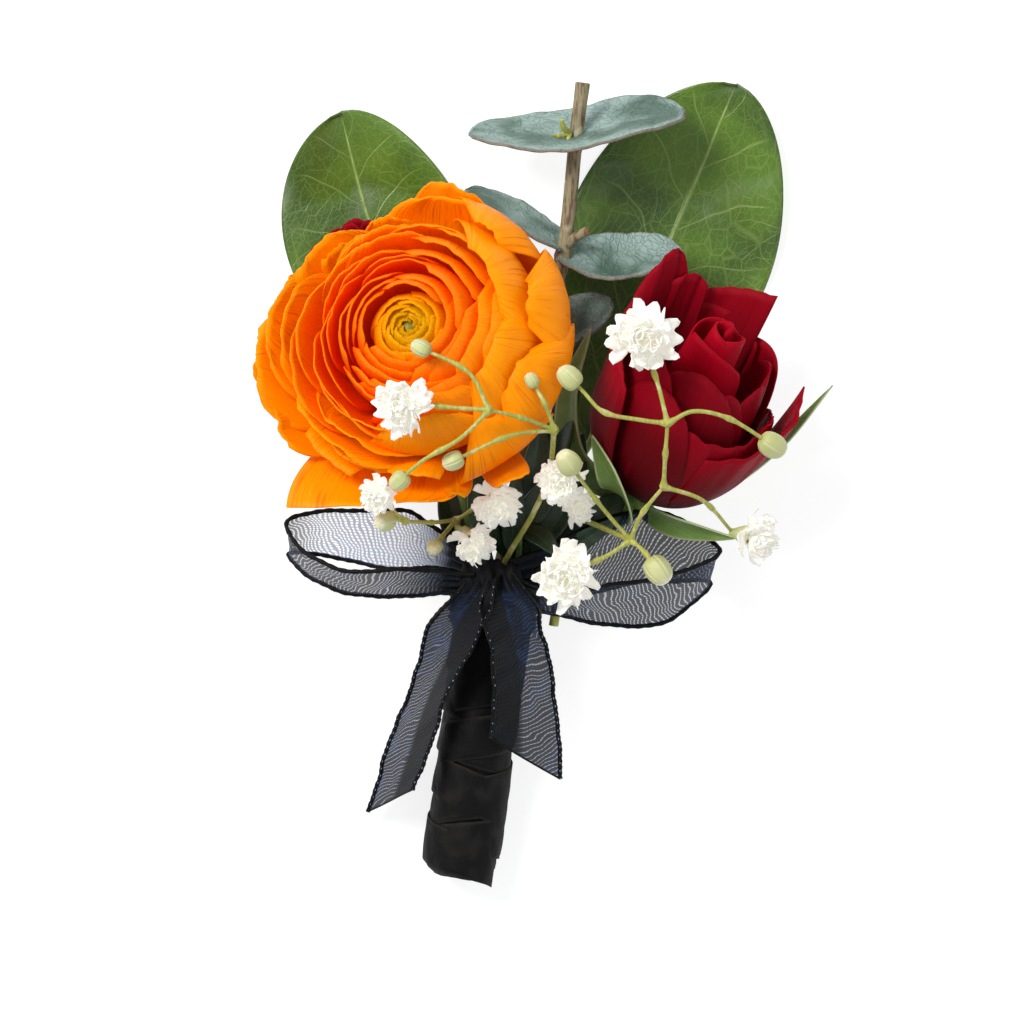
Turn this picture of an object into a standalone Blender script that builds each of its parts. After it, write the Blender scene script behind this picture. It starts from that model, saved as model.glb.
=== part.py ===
"""A boutonniere laid on its back: ranunculus, two roses, eucalyptus, salal and gypsophila.

The handle points along -Y, the blooms look up along +Z, and the part rests on z = 0.
Sizes in the tables below are millimetres in the bench frame; BENCH_TO_ROW moves them
to the row frame, whose origin is the middle of the bounding box's underside.
"""

import math
import random
from dataclasses import dataclass

import bmesh
import bpy
from mathutils import Matrix, Vector

MM = 0.001
BENCH_TO_ROW = Vector((0.0, -0.35, 0.0))

# Clearance between neighbouring pieces, and the thinnest blade
GAP = 0.35
BLADE = 0.62

# Handle: bundle of stems bound in black tape
HANDLE_FOOT = Vector((-14.4, -63.4, 5.25))
HANDLE_NECK = Vector((-8.4, -16.5, 9.8))
TAPE_RADIUS = 6.1
TAPE_STEP = 0.3
TAPE_TURNS = 7
BUNDLE_RADIUS = 4.97
TAPE_FLOOR = 1.6

# Ribbon, half an inch wide
RIBBON_WIDTH = 12.7
RIBBON_SOLID = 0.6
BAND_WIDTH = 8.0
BAND_INNER = 6.55
BAND_OUTER = 7.2
KNOT_CENTRE = Vector((-9.2, -15.4, 20.5))
KNOT_RADII = Vector((5.0, 3.5, 3.1))
TAIL_SHAPE = {"pinch": (0.4, 1.0), "rows": 10}

# Ranunculus
RANUNCULUS_SEAT = Vector((-19.4, 20.4, 24.0))
RANUNCULUS_AXIS = Vector((-0.15, 0.26, 0.954))
RANUNCULUS_RINGS = (4, 4, 5, 5, 6, 6)
RANUNCULUS_SEED = 4

# Roses
ROSE_SEAT = Vector((15.6, -0.4, 11.8))
ROSE_AXIS = Vector((0.386, 0.755, 0.53))
ROSE_RINGS = (3, 4, 4, 5)
REAR_ROSE_SEAT = Vector((-27.0, 29.4, 6.6))
REAR_ROSE_AXIS = Vector((-0.36, 0.60, 0.71))
REAR_ROSE_SCALE = 0.47
REAR_ROSE_RINGS = (3, 5)

# Colours: base colour, roughness
COLOURS = {
    "tape": ((0.02, 0.02, 0.022), 0.8),
    "ribbon": ((0.015, 0.018, 0.03), 0.6),
    "orange_petal": ((0.9, 0.24, 0.01), 0.55),
    "yellow_petal": ((0.9, 0.5, 0.02), 0.55),
    "red_petal": ((0.33, 0.004, 0.016), 0.5),
    "stem_green": ((0.16, 0.24, 0.04), 0.6),
    "leaf_green": ((0.05, 0.15, 0.015), 0.4),
    "eucalyptus_leaf": ((0.27, 0.36, 0.33), 0.65),
    "eucalyptus_bark": ((0.3, 0.22, 0.14), 0.7),
    "dark_leaf": ((0.03, 0.07, 0.03), 0.5),
    "spray_green": ((0.42, 0.48, 0.16), 0.6),
    "white_petal": ((0.85, 0.83, 0.76), 0.6),
}


class Path:
    """A smooth curve through points chosen by hand, at u from 0 to 1 by length."""

    def __init__(self, points):
        self.points = [Vector(p) for p in points]
        steps = [(b - a).length for a, b in zip(self.points, self.points[1:])]
        total = sum(steps)
        self.knots = [sum(steps[:i]) / total for i in range(len(self.points))]
        self.slopes = [self._slope(i) for i in range(len(self.points))]

    def _slope(self, i):
        low, high = max(i - 1, 0), min(i + 1, len(self.points) - 1)
        return (self.points[high] - self.points[low]) / (self.knots[high] - self.knots[low])

    def at(self, u):
        i = max(k for k in range(len(self.knots) - 1) if self.knots[k] <= u or k == 0)
        span = self.knots[i + 1] - self.knots[i]
        t = (u - self.knots[i]) / span
        a, b = self.points[i], self.points[i + 1]
        m, n = self.slopes[i] * span, self.slopes[i + 1] * span
        return (
            a * (2 * t**3 - 3 * t**2 + 1)
            + m * (t**3 - 2 * t**2 + t)
            + b * (3 * t**2 - 2 * t**3)
            + n * (t**3 - t**2)
        )

    def heading(self, u):
        low, high = max(u - 0.01, 0.0), min(u + 0.01, 1.0)
        return (self.at(high) - self.at(low)).normalized()


def blend(low, high, t):
    """A value or a tuple of values a share t of the way from low to high."""
    if isinstance(low, tuple):
        return tuple(blend(a, b, t) for a, b in zip(low, high))
    return low + (high - low) * t


def basis(origin, axis, side=(1, 0, 0)):
    """A frame at origin whose Z runs along axis and whose X lies nearest to side."""
    z = Vector(axis).normalized()
    x = (Vector(side) - z * z.dot(Vector(side))).normalized()
    frame = Matrix((x, z.cross(x), z)).transposed().to_4x4()
    frame.translation = origin
    return frame


def material(name):
    """The Principled material of that colour, made once."""
    if name in bpy.data.materials:
        return bpy.data.materials[name]
    made = bpy.data.materials.new(name)
    made.use_nodes = True
    colour, roughness = COLOURS[name]
    shader = made.node_tree.nodes["Principled BSDF"]
    shader.inputs["Base Color"].default_value = (*colour, 1.0)
    shader.inputs["Roughness"].default_value = roughness
    return made


def add_object(name, data, colour):
    """An object in the part's collection, with its one material."""
    made = bpy.data.objects.new(name, data)
    bpy.data.collections["boutonniere"].objects.link(made)
    data.materials.clear()
    data.materials.append(material(colour))
    return made


def from_bmesh(name, bm, colour):
    """An object from a bmesh in millimetres, shaded smooth."""
    bmesh.ops.scale(bm, vec=(MM, MM, MM), verts=bm.verts)
    mesh = bpy.data.meshes.new(name)
    bm.to_mesh(mesh)
    bm.free()
    mesh.shade_smooth()
    return add_object(name, mesh, colour)


def blade(name, colour, rows, columns, law, thickness=BLADE):
    """A thin solid: a flat grid bent by law(u, v), u from 0 to 1 and v from -1 to 1."""
    bm = bmesh.new()
    bmesh.ops.create_grid(bm, x_segments=columns, y_segments=rows, size=0.5)
    for vertex in bm.verts:
        vertex.co = law(vertex.co.y + 0.5, 2 * vertex.co.x)
    # Split before it is thickened, so that both faces bend along the same diagonals
    bmesh.ops.triangulate(bm, faces=bm.faces)
    made = from_bmesh(name, bm, colour)
    shell = made.modifiers.new("thickness", "SOLIDIFY")
    shell.thickness = thickness * MM
    shell.offset = 0.0
    return made


def tube(name, colour, path, radius, tip_radius=None, points=10, sides=8):
    """A stem along a path, as a curve with a round bevel and filled caps."""
    curve = bpy.data.curves.new(name, "CURVE")
    curve.dimensions = "3D"
    curve.bevel_depth = radius * MM
    curve.bevel_resolution = (sides - 4) // 2
    curve.use_fill_caps = True
    spline = curve.splines.new("POLY")
    spline.points.add(points - 1)
    tip_share = 1.0 if tip_radius is None else tip_radius / radius
    for i, point in enumerate(spline.points):
        u = i / (points - 1)
        point.co = (*(path.at(u) * MM), 1.0)
        point.radius = blend(1.0, tip_share, u)
    return add_object(name, curve, colour)


def keep_largest(bm):
    """Drops every island but the largest, such as the skin of a pocket shut in by petals."""
    left, islands = set(bm.verts), []
    while left:
        reached = [left.pop()]
        for vertex in reached:
            near = {edge.other_vert(vertex) for edge in vertex.link_edges} & left
            left -= near
            reached.extend(near)
        islands.append(reached)
    islands.sort(key=len)
    for island in islands[:-1]:
        bmesh.ops.delete(bm, geom=island, context="VERTS")


def meshed(obj):
    """The object as one plain body with its modifiers applied and its caps welded."""
    graph = bpy.context.evaluated_depsgraph_get()
    mesh = bpy.data.meshes.new_from_object(obj.evaluated_get(graph))
    bm = bmesh.new()
    bm.from_mesh(mesh)
    bmesh.ops.remove_doubles(bm, verts=bm.verts, dist=1e-6)
    keep_largest(bm)
    bm.to_mesh(mesh)
    bm.free()
    name, place, colour = obj.name, obj.matrix_world.copy(), mesh.materials[0].name
    bpy.data.objects.remove(obj)
    made = add_object(name, mesh, colour)
    made.matrix_world = place
    return made


def solid_ball(name, colour, centre, radii, subdivisions=2):
    """A small rounded body."""
    bm = bmesh.new()
    bmesh.ops.create_icosphere(bm, subdivisions=subdivisions, radius=1.0)
    bmesh.ops.scale(bm, vec=radii, verts=bm.verts)
    bmesh.ops.translate(bm, vec=centre, verts=bm.verts)
    return from_bmesh(name, bm, colour)


def turned(name, colour, profile, steps=14, ring=False):
    """A body turned round Z from (radius, height) pairs, listed down its outer side."""
    mesh = bpy.data.meshes.new(name)
    points = [(r * MM, 0.0, h * MM) for r, h in profile]
    edges = [(i, i + 1) for i in range(len(points) - 1)]
    if ring:
        edges.append((len(points) - 1, 0))
    mesh.from_pydata(points, edges, [])
    made = add_object(name, mesh, colour)
    lathe = made.modifiers.new("turn", "SCREW")
    lathe.steps = lathe.render_steps = steps
    lathe.use_merge_vertices = True
    lathe.merge_threshold = 1e-5
    return made


def boolean(body, operation, others, solver="EXACT"):
    """Joins others to body, or cuts them from it, and removes them."""
    group = bpy.data.collections.new(body.name + "_others")
    bpy.context.scene.collection.children.link(group)
    for other in others:
        for holder in list(other.users_collection):
            holder.objects.unlink(other)
        group.objects.link(other)
    bpy.context.view_layer.update()
    step = body.modifiers.new("join", "BOOLEAN")
    step.operation = operation
    step.operand_type = "COLLECTION"
    step.collection = group
    step.solver = solver
    colour = body.data.materials[0].name
    made = meshed(body)
    made.data.materials.clear()
    made.data.materials.append(material(colour))
    for polygon in made.data.polygons:
        polygon.material_index = 0
    for other in list(group.objects):
        bpy.data.objects.remove(other)
    bpy.data.collections.remove(group)
    return made


def place(obj, frame):
    """Moves an object modelled in its own frame to a frame of the bench."""
    moved = frame.copy()
    moved.translation = frame.translation * MM
    obj.matrix_world = moved
    return obj


@dataclass
class Petal:
    """One petal on a surface turned round the bloom's axis, in the bloom's frame.

    root, low, high and rim are (radius, height) of the control points of its meridian.
    """

    azimuth: float
    spread: float
    root: tuple
    low: tuple
    high: tuple
    rim: tuple
    twist: float = 0.5
    cup: float = 0.0
    droop: float = 1.2
    point: float = 0.0
    tip: float = 0.5
    rows: int = 3
    columns: int = 3

    def law(self, u, v):
        """The point of the petal at u along it and v across it."""
        shoulder = max(0.0, (u - 0.5) / 0.5)
        narrow = math.sqrt(1.0 - (1.0 - self.tip**2) * shoulder**2) * (1 - self.point * shoulder)
        weights = ((1 - u) ** 3, 3 * u * (1 - u) ** 2, 3 * u * u * (1 - u), u**3)
        controls = (self.root, self.low, self.high, self.rim)
        radius = sum(w * c[0] for w, c in zip(weights, controls))
        height = sum(w * c[1] for w, c in zip(weights, controls))
        radius += (self.twist * v - self.cup * v * v) * u
        height -= self.droop * v * v * u * u
        turn = math.radians(self.azimuth + self.spread * v * narrow * min(1.0, 0.5 + u))
        return Vector((radius * math.cos(turn), radius * math.sin(turn), height))

    def build(self, name, colour):
        return blade(name, colour, self.rows, self.columns, self.law)


def ring_of(counts, seed, inner, outer, overlap, scale=1.0, **more):
    """Petals in rings from the heart outwards; inner and outer are meridians."""
    draw = random.Random(seed)
    petals = []
    for ring, count in enumerate(counts):
        t = ring / (len(counts) - 1)
        start = draw.uniform(0, 360)
        for i in range(count):
            meridian = [blend(a, b, t) for a, b in zip(inner, outer)]
            rim = meridian[3]
            meridian[3] = (rim[0] + draw.uniform(-0.3, 0.3), rim[1] + draw.uniform(-0.7, 0.7))
            meridian = [(r * scale, h * scale) for r, h in meridian]
            azimuth = start + 360 * i / count + draw.uniform(-4, 4)
            petals.append(Petal(azimuth, overlap * 180 / count, *meridian, **more))
    return petals


def bloom(name, colour, core, petals, frame, solver="EXACT"):
    """A core with its petals joined to it as one body, placed on its frame."""
    pieces = [petal.build(f"{name}_{i}", colour) for i, petal in enumerate(petals)]
    return place(boolean(core, "UNION", pieces, solver), frame)


@dataclass
class Leaf:
    """A leaf or sepal: a blade along a midrib, with its outline from a formula."""

    midrib: Path
    width: float
    normal: tuple
    fold: float = 0.1
    wave: float = 0.0
    base: float = 0.12
    tip: float = 0.1
    belly: float = 0.85
    bluntness: float = 0.7
    roll: float = 0.0
    rows: int = 10
    columns: int = 6
    floor: float = -100.0

    def law(self, u, v):
        """The point at u along the leaf and v across it, kept above the floor."""
        heading = self.midrib.heading(u)
        normal = Vector(self.normal).normalized()
        side = heading.cross(normal).normalized()
        face = side.cross(heading)
        turn = self.roll * u
        side, face = (
            side * math.cos(turn) + face * math.sin(turn),
            face * math.cos(turn) - side * math.sin(turn),
        )
        swell = math.sin(math.pi * min(max(u, 0.0), 1.0) ** self.belly) ** self.bluntness
        half = self.width / 2 * max(swell, blend(self.base, self.tip, u))
        lift = self.fold * half * abs(v) ** 1.5 + self.wave * math.sin(9 * u + 2 * v) * v * v
        point = self.midrib.at(u) + side * (half * v) + face * lift
        point.z = max(point.z, self.floor)
        return point

    def build(self, name, colour):
        return blade(name, colour, self.rows, self.columns, self.law)


@dataclass
class Strip:
    """A length of ribbon: a centre line, and the direction of its width on the way."""

    path: Path
    across: Path
    pinch: tuple = (0.35, 0.35)
    slant: float = 0.0
    rows: int = 14
    columns: int = 3

    def law(self, u, v):
        """The point at u along the ribbon and v across it, with a slanted cut end."""
        reach = u * (1 + self.slant * v) / (1 + abs(self.slant))
        start = blend(self.pinch[0], 1.0, min(1.0, reach / 0.22))
        end = blend(self.pinch[1], 1.0, min(1.0, (1 - reach) / 0.22))
        width = RIBBON_WIDTH / 2 * min(start, end)
        return self.path.at(reach) + self.across.at(reach).normalized() * (width * v)

    def build(self, name):
        return blade(name, "ribbon", self.rows, self.columns, self.law, RIBBON_SOLID)


HANDLE_FRAME = basis(HANDLE_FOOT, HANDLE_NECK - HANDLE_FOOT)
HANDLE_LENGTH = (HANDLE_NECK - HANDLE_FOOT).length

# Where each stem lies in the bundle, across the handle: (right, up)
SLOTS = {
    "ranunculus": (-1.9, 2.2),
    "rose": (1.4, 1.7),
    "rear_rose": (-2.95, -1.55),
    "eucalyptus": (0.3, -1.15),
    "left_leaf": (-1.2, -3.7),
    "right_leaf": (2.4, -3.2),
    "left_spray": (-0.2, 4.1),
    "right_spray": (4.1, 0.3),
    "low_spray": (-4.1, 0.65),
    "dark_leaves": (1.6, 3.9),
}


def stem_path(slot, *points):
    """A path from a stem's cut end in the handle, up its slot, and on through points."""
    right, up = SLOTS[slot]
    stations = (TAPE_FLOOR + 1.8, HANDLE_LENGTH / 2, HANDLE_LENGTH - 7.0, HANDLE_LENGTH + 0.8)
    bound = [HANDLE_FRAME @ Vector((right, -up, station)) for station in stations]
    return Path([*bound, *points])


def tape_wrap():
    """The tape round the stems: overlapping turns outside, a bore with a floor inside."""
    columns, rows = 14, 2 * (TAPE_TURNS + 2)
    bm = bmesh.new()
    bmesh.ops.create_grid(bm, x_segments=columns, y_segments=rows, size=0.5)
    for vertex in bm.verts:
        share, row = vertex.co.x + 0.5, round((vertex.co.y + 0.5) * rows)
        level = (row + 0.8 * (row % 2)) / 2 + share - 1.5
        radius = TAPE_RADIUS + TAPE_STEP * (0.5 - row % 2) - 0.25 * (1 - level / TAPE_TURNS)
        turn = -2 * math.pi * share
        along = level / TAPE_TURNS * HANDLE_LENGTH
        vertex.co = (radius * math.cos(turn), radius * math.sin(turn), along)
    bmesh.ops.remove_doubles(bm, verts=bm.verts, dist=0.01)
    bmesh.ops.holes_fill(bm, edges=[e for e in bm.edges if e.is_boundary], sides=0)
    bmesh.ops.recalc_face_normals(bm, faces=bm.faces)
    body = place(from_bmesh("tape_wrap", bm, "tape"), HANDLE_FRAME)
    reach = TAPE_RADIUS + 1
    trim = turned(
        "trim",
        "tape",
        [(0, HANDLE_LENGTH), (reach, HANDLE_LENGTH), (reach, 2.0), (5.5, 0.5), (4.6, 0), (0, 0)],
        steps=20,
    )
    trim = meshed(place(trim, HANDLE_FRAME))
    body = boolean(body, "INTERSECT", [trim])
    bm = bmesh.new()
    bmesh.ops.create_cube(bm, size=100.0)
    bmesh.ops.translate(bm, vec=(0, -40, -50), verts=bm.verts)
    table = from_bmesh("table", bm, "tape")
    flare = BUNDLE_RADIUS + GAP
    bore = turned(
        "bore",
        "tape",
        [
            (0, HANDLE_LENGTH + 2),
            (flare, HANDLE_LENGTH + 2),
            (flare, HANDLE_LENGTH - 2),
            (BUNDLE_RADIUS, HANDLE_LENGTH - 7),
            (BUNDLE_RADIUS, TAPE_FLOOR + 1),
            (4.4, TAPE_FLOOR),
            (0, TAPE_FLOOR),
        ],
        steps=16,
    )
    return boolean(body, "DIFFERENCE", [table, meshed(place(bore, HANDLE_FRAME))])


def ranunculus():
    """The orange bloom, its yellow heart, and its stem with the calyx."""
    frame = basis(RANUNCULUS_SEAT, RANUNCULUS_AXIS)
    inner = ((2.5, 1.5), (8.5, 2.0), (9.5, 14.0), (6.9, 22.5))
    outer = ((6.0, 1.5), (14.0, -0.4), (22.5, 3.5), (25.0, 11.5))
    petals = ring_of(RANUNCULUS_RINGS, RANUNCULUS_SEED, inner, outer, 1.18, columns=2)
    for azimuth, reach, height, spread, sink in (
        (12, 26.0, 15.5, 23, 0.0),
        (44, 25.5, 14.5, 21, 0.9),
        (240, 30.0, 7.5, 24, 0.0),
        (268, 27.5, 6.5, 15, 0.9),
        (306, 30.5, 11.0, 12, 0.4),
    ):
        meridian = (
            (7.0, 1.2 - sink),
            (14.5, -1.2 - 1.3 * sink),
            (reach * 0.86, 1.4 - sink),
            (reach, height),
        )
        petals.append(Petal(azimuth, spread, *meridian, point=0.25))
    core = turned(
        "ranunculus_petals",
        "orange_petal",
        [(0, 4.6), (5.5, 4.6), (9.5, 3.2), (10.5, 1.4), (8.5, 0.2), (0, -0.4)],
    )
    bloom("ranunculus_petals", "orange_petal", core, petals, frame, "MANIFOLD")

    heart_inner = ((1.2, 5.5), (3.8, 7.0), (4.2, 14.0), (1.9, 19.5))
    heart_outer = ((2.2, 5.5), (5.4, 7.0), (6.0, 13.0), (4.7, 19.0))
    heart_petals = ring_of((3, 3), 9, heart_inner, heart_outer, 1.1, twist=0.35, columns=2)
    heart_core = turned(
        "ranunculus_heart",
        "yellow_petal",
        [(0, 17.6), (0.9, 17.0), (1.4, 14.0), (3.2, 8.5), (3.6, 4.6 + GAP), (0, 4.6 + GAP)],
        steps=10,
    )
    bloom("ranunculus_heart", "yellow_petal", heart_core, heart_petals, frame, "MANIFOLD")

    seat = frame @ Vector((0, 0, -1.6))
    below = frame @ Vector((0, 0, -4.0))
    path = stem_path("ranunculus", (-11.4, -8.0, 13.6), (-14.6, 4.0, 16.4), below, seat)
    stem = meshed(tube("ranunculus_stem", "stem_green", path, 1.5, points=10))
    meridian = ((1.0, -1.9), (3.4, -2.3), (5.0, -3.2), (8.4, -2.9))
    sepals = []
    for i in range(5):
        sepal = Petal(72 * i, 24, *meridian, point=0.4, rows=2, columns=2)
        sepals.append(place(sepal.build(f"sepal_{i}", "stem_green"), frame))
    boolean(stem, "UNION", sepals, "MANIFOLD")


def rose(name, frame, rings, seed, scale, columns, rim):
    """A half-open rose: a furled bud inside rings of cupped petals."""
    inner = ((1.6, 0.8), (7.0, 3.0), (7.4, 22.0), (2.6, 35.5))
    outer = ((4.0, 0.5), (16.5, -1.0), (15.0, 0.55 * rim[1]), rim)
    petals = ring_of(
        rings, seed, inner, outer, 1.25, scale, twist=0.7, cup=0.4, droop=2.0, tip=0.62, columns=columns
    )
    profile = ((0, 33.0), (1.5, 31.0), (3.6, 18.0), (6.2, 6.0), (5.8, 1.2), (3.8, 0.0), (0, 0.0))
    core = [(r * scale, h * scale) for r, h in profile]
    core = turned(name, "red_petal", core, steps=4 * columns)
    bloom(name, "red_petal", core, petals, frame, "MANIFOLD")


def rose_stem(name, slot, frame, scale, radius, sepals, *points):
    """A rose's stem with its hip and sepals."""
    seat = frame @ Vector((0, 0, -GAP - 0.8))
    below = frame @ Vector((0, 0, -5.0 * scale))
    stem = meshed(tube(name, "stem_green", stem_path(slot, *points, below, seat), radius, points=10))
    profile = [(0, 0), (2.3, 0), (2.9, -1.8), (2.2, -4.0), (0, -4.6)]
    hip = turned("hip", "stem_green", [(r * scale, h * scale - GAP) for r, h in profile], steps=10)
    hip = meshed(hip)
    place(hip, frame)
    blades = [leaf.build(f"{name}_sepal_{i}", "stem_green") for i, leaf in enumerate(sepals)]
    boolean(stem, "UNION", [hip, *blades], "MANIFOLD")


def roses():
    """The half-open rose on the right and the smaller one behind the ranunculus."""
    frame = basis(ROSE_SEAT, ROSE_AXIS)
    rose("rose_petals", frame, ROSE_RINGS, 3, 1.0, 3, (17.5, 31.5))
    # Midrib, width, the way the inner face looks and rows, for each sepal
    table = (
        (
            [(14.2, -2.8, 10.2), (4.4, 4.0, 12.0), (2.4, 14.0, 15.6), (6.4, 25.5, 19.0)],
            4.2,
            (0.9, -0.4, -0.3),
            6,
        ),
        (
            [(14.2, -2.8, 10.6), (8.4, -3.2, 17.4), (5.0, 1.4, 22.6), (4.2, 7.6, 25.4)],
            4.6,
            (0.6, -0.7, -0.3),
            5,
        ),
        (
            [(14.2, -2.8, 10.4), (20.0, -6.1, 15.8), (25.6, -7.6, 18.6), (30.4, -8.6, 20.8)],
            4.2,
            (0.2, -0.6, 0.8),
            5,
        ),
        (
            [(14.4, -2.6, 9.8), (26.0, -1.0, 4.6), (37.0, 6.0, 6.0), (46.2, 16.2, 12.0)],
            4.2,
            (-0.3, 0.3, 0.9),
            6,
        ),
    )
    sepals = []
    for points, width, normal, rows in table:
        sepals.append(Leaf(Path(points), width, normal, rows=rows, columns=2))
    rose_stem("rose_stem", "rose", frame, 1.0, 1.3, sepals, (0.5, -10.8, 11.6))
    rear = basis(REAR_ROSE_SEAT, REAR_ROSE_AXIS)
    rose("rear_rose_petals", rear, REAR_ROSE_RINGS, 8, REAR_ROSE_SCALE, 2, (18.0, 25.0))
    way = ((-13.6, -8.0, 7.6), (-18.5, 6.0, 5.6))
    rose_stem("rear_rose_stem", "rear_rose", rear, REAR_ROSE_SCALE, 1.15, [], *way)


def salal_leaf(name, slot, leaf, *points):
    """A broad leaf with its stalk running down into the handle."""
    start = leaf.midrib.at(0.0)
    inside = leaf.midrib.at(0.06)
    path = stem_path(slot, *points, start, inside)
    stalk = meshed(tube(name, "leaf_green", path, 0.75, points=10, sides=6))
    boolean(stalk, "UNION", [leaf.build(f"{name}_blade", "leaf_green")], "MANIFOLD")


def salal_leaves():
    """The two broad leaves at the back, which the head rests on."""
    shape = {"floor": BLADE / 2, "rows": 9, "columns": 4}
    midrib = Path([(-19.5, 17.0, 3.0), (-25.0, 30.0, -0.2), (-30.5, 44.0, -0.4), (-34.4, 59.8, 3.0)])
    left = Leaf(midrib, 29.5, (0, 0, 1), fold=0.05, wave=1.0, **shape)
    midrib = Path([(7.0, 7.0, 3.0), (13.5, 24.0, -0.2), (21.0, 43.0, -0.5), (30.2, 64.2, 5.0)])
    right = Leaf(midrib, 33.0, (0, 0, 1), fold=0.06, wave=1.2, **shape)
    salal_leaf("salal_leaf_left", "left_leaf", left, (-12.5, -4.0, 5.0))
    salal_leaf("salal_leaf_right", "right_leaf", right, (-2.0, -6.0, 5.4))


EUCALYPTUS_PATH = stem_path(
    "eucalyptus",
    (-5.0, -2.0, 9.4),
    (-1.4, 18.0, 10.4),
    (2.8, 39.0, 12.2),
    (4.6, 56.4, 13.2),
    (5.6, 64.2, 13.6),
)
EUCALYPTUS_SHAPE = {"base": 0.42, "tip": 0.3, "belly": 0.95, "bluntness": 0.55, "rows": 6, "columns": 4}


def eucalyptus_leaves(name, node, table):
    """A pair of leaves joined round the stem, with a clear hole for it."""
    pieces = []
    for midrib, width, normal, fold in table:
        leaf = Leaf(Path(midrib), width, normal, fold, **EUCALYPTUS_SHAPE)
        pieces.append(leaf.build(name, "eucalyptus_leaf"))
    first, *rest = pieces
    pair = boolean(meshed(first), "UNION", rest, "MANIFOLD") if rest else meshed(first)
    cutter = meshed(tube("cutter", "eucalyptus_leaf", EUCALYPTUS_PATH, node + GAP, points=14))
    boolean(pair, "DIFFERENCE", [cutter], "MANIFOLD")


def eucalyptus():
    """The eucalyptus sprig: a woody stem with its cut tip, and round leaves on it."""
    stem = meshed(tube("eucalyptus_stem", "eucalyptus_bark", EUCALYPTUS_PATH, 1.35, 1.1, points=14))
    stub = Path([(2.8, 38.6, 12.4), (4.4, 40.0, 13.8), (6.4, 41.2, 14.6)])
    stub = meshed(tube("stub", "eucalyptus_bark", stub, 0.8, points=3, sides=6))
    boolean(stem, "UNION", [stub], "MANIFOLD")
    # Midrib, width, facing and fold of each leaf
    top = (
        ([(4.6, 56.6, 13.2), (-3.0, 56.6, 13.4), (-12.6, 56.8, 13.6)], 17.5, (0.0, 0.95, 0.3), 0.12),
        ([(4.6, 56.6, 13.2), (13.0, 59.0, 13.4), (22.2, 59.6, 13.6)], 19.0, (-0.16, 0.93, 0.36), 0.1),
    )
    middle = (
        ([(2.8, 38.2, 12.2), (-5.0, 43.0, 10.0), (-13.2, 48.0, 9.0)], 13.5, (0.5, 0.8, 0.35), 0.15),
        ([(2.8, 38.2, 12.2), (12.0, 36.4, 13.0), (21.6, 38.4, 13.6)], 18.0, (0.0, 0.9, 0.5), 0.3),
    )
    low = (([(-3.6, 22.4, 10.2), (2.0, 25.4, 11.6), (10.4, 29.6, 12.6)], 8.5, (0.2, 0.5, 0.8), 0.2),)
    eucalyptus_leaves("eucalyptus_leaves_top", 1.2, top)
    eucalyptus_leaves("eucalyptus_leaves_middle", 1.25, middle)
    eucalyptus_leaves("eucalyptus_leaf_low", 1.3, low)


def dark_leaves():
    """The narrow dark leaves in the middle of the bunch, on one short stem."""
    path = stem_path("dark_leaves", (-4.8, -12.0, 15.0), (-4.6, -6.5, 17.8))
    stem = meshed(tube("dark_leaves", "dark_leaf", path, 0.5, points=10, sides=6))
    start = (-4.6, -6.8, 17.3)
    shape = {"rows": 5, "columns": 2, "base": 0.2}
    blades = [
        Leaf(Path([start, (-7.6, -2.6, 18.4), (-10.4, 1.4, 17.6)]), 4.4, (0.3, -0.4, 0.9), **shape),
        Leaf(Path([start, (-1.4, -2.6, 19.0), (0.6, 1.6, 20.0)]), 4.6, (-0.2, -0.4, 0.9), **shape),
        Leaf(Path([start, (-1.0, -8.6, 20.4), (1.6, -11.4, 22.0)]), 3.8, (0.1, 0.5, 0.9), **shape),
    ]
    blades = [leaf.build(f"dark_blade_{i}", "dark_leaf") for i, leaf in enumerate(blades)]
    boolean(stem, "UNION", blades, "MANIFOLD")


@dataclass
class Head:
    """A double gypsophila flower: its middle, the way it faces and its radius."""

    centre: tuple
    facing: tuple
    radius: float

    def frame(self):
        return basis(Vector(self.centre), self.facing)

    def underside(self):
        """The height in the head's frame where its calyx ends, just clear of its knob."""
        return -0.6 * self.radius - GAP

    def calyx(self):
        """The point inside the calyx where the head's stalk ends."""
        return self.frame() @ Vector((0, 0, self.underside() - 0.8))


HEADS = {
    "front": Head((-23.0, 12.0, 51.4), (0.0, -0.25, 1.0), 5.0),
    "over_rose": Head((14.6, 23.0, 43.6), (0.0, 0.0, 1.0), 5.6),
    "over_loop": Head((2.9, -14.7, 36.4), (0.0, -0.15, 1.0), 5.6),
    "outer": Head((32.8, -8.3, 29.6), (0.9, -0.2, 0.4), 4.4),
    "low": Head((-12.2, -9.3, 25.6), (0.3, -0.6, 0.75), 3.8),
    "middle": Head((1.6, 0.5, 36.0), (0.15, -0.25, 1.0), 4.2),
    "under_petal": Head((-8.3, -2.8, 29.6), (0.0, -0.6, 0.8), 4.4),
    "left": Head((-26.9, -1.8, 45.0), (-0.3, -0.4, 0.8), 3.2),
    "deep": Head((4.4, -3.4, 23.6), (0.3, -0.2, 0.9), 3.4),
}


def gypsophila_head(key, head, seed):
    """A double flower: small petals in two rings round a knob."""
    r = head.radius
    petals = ring_of(
        (3, 4),
        seed,
        ((0.1 * r, -0.25 * r), (0.35 * r, 0.1 * r), (0.3 * r, 0.4 * r), (0.4 * r, 0.62 * r)),
        ((0.1 * r, -0.3 * r), (0.5 * r, -0.3 * r), (0.7 * r, 0.1 * r), (1.0 * r, 0.2 * r)),
        1.05,
        twist=0.25,
        droop=0.5,
        tip=0.75,
        rows=1,
        columns=2,
    )
    name = f"gypsophila_flower_{key}"
    core = solid_ball(name, "white_petal", (0, 0, -0.15 * r), (0.42 * r, 0.42 * r, 0.45 * r), 1)
    bloom(name, "white_petal", core, petals, head.frame(), "MANIFOLD")


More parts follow.
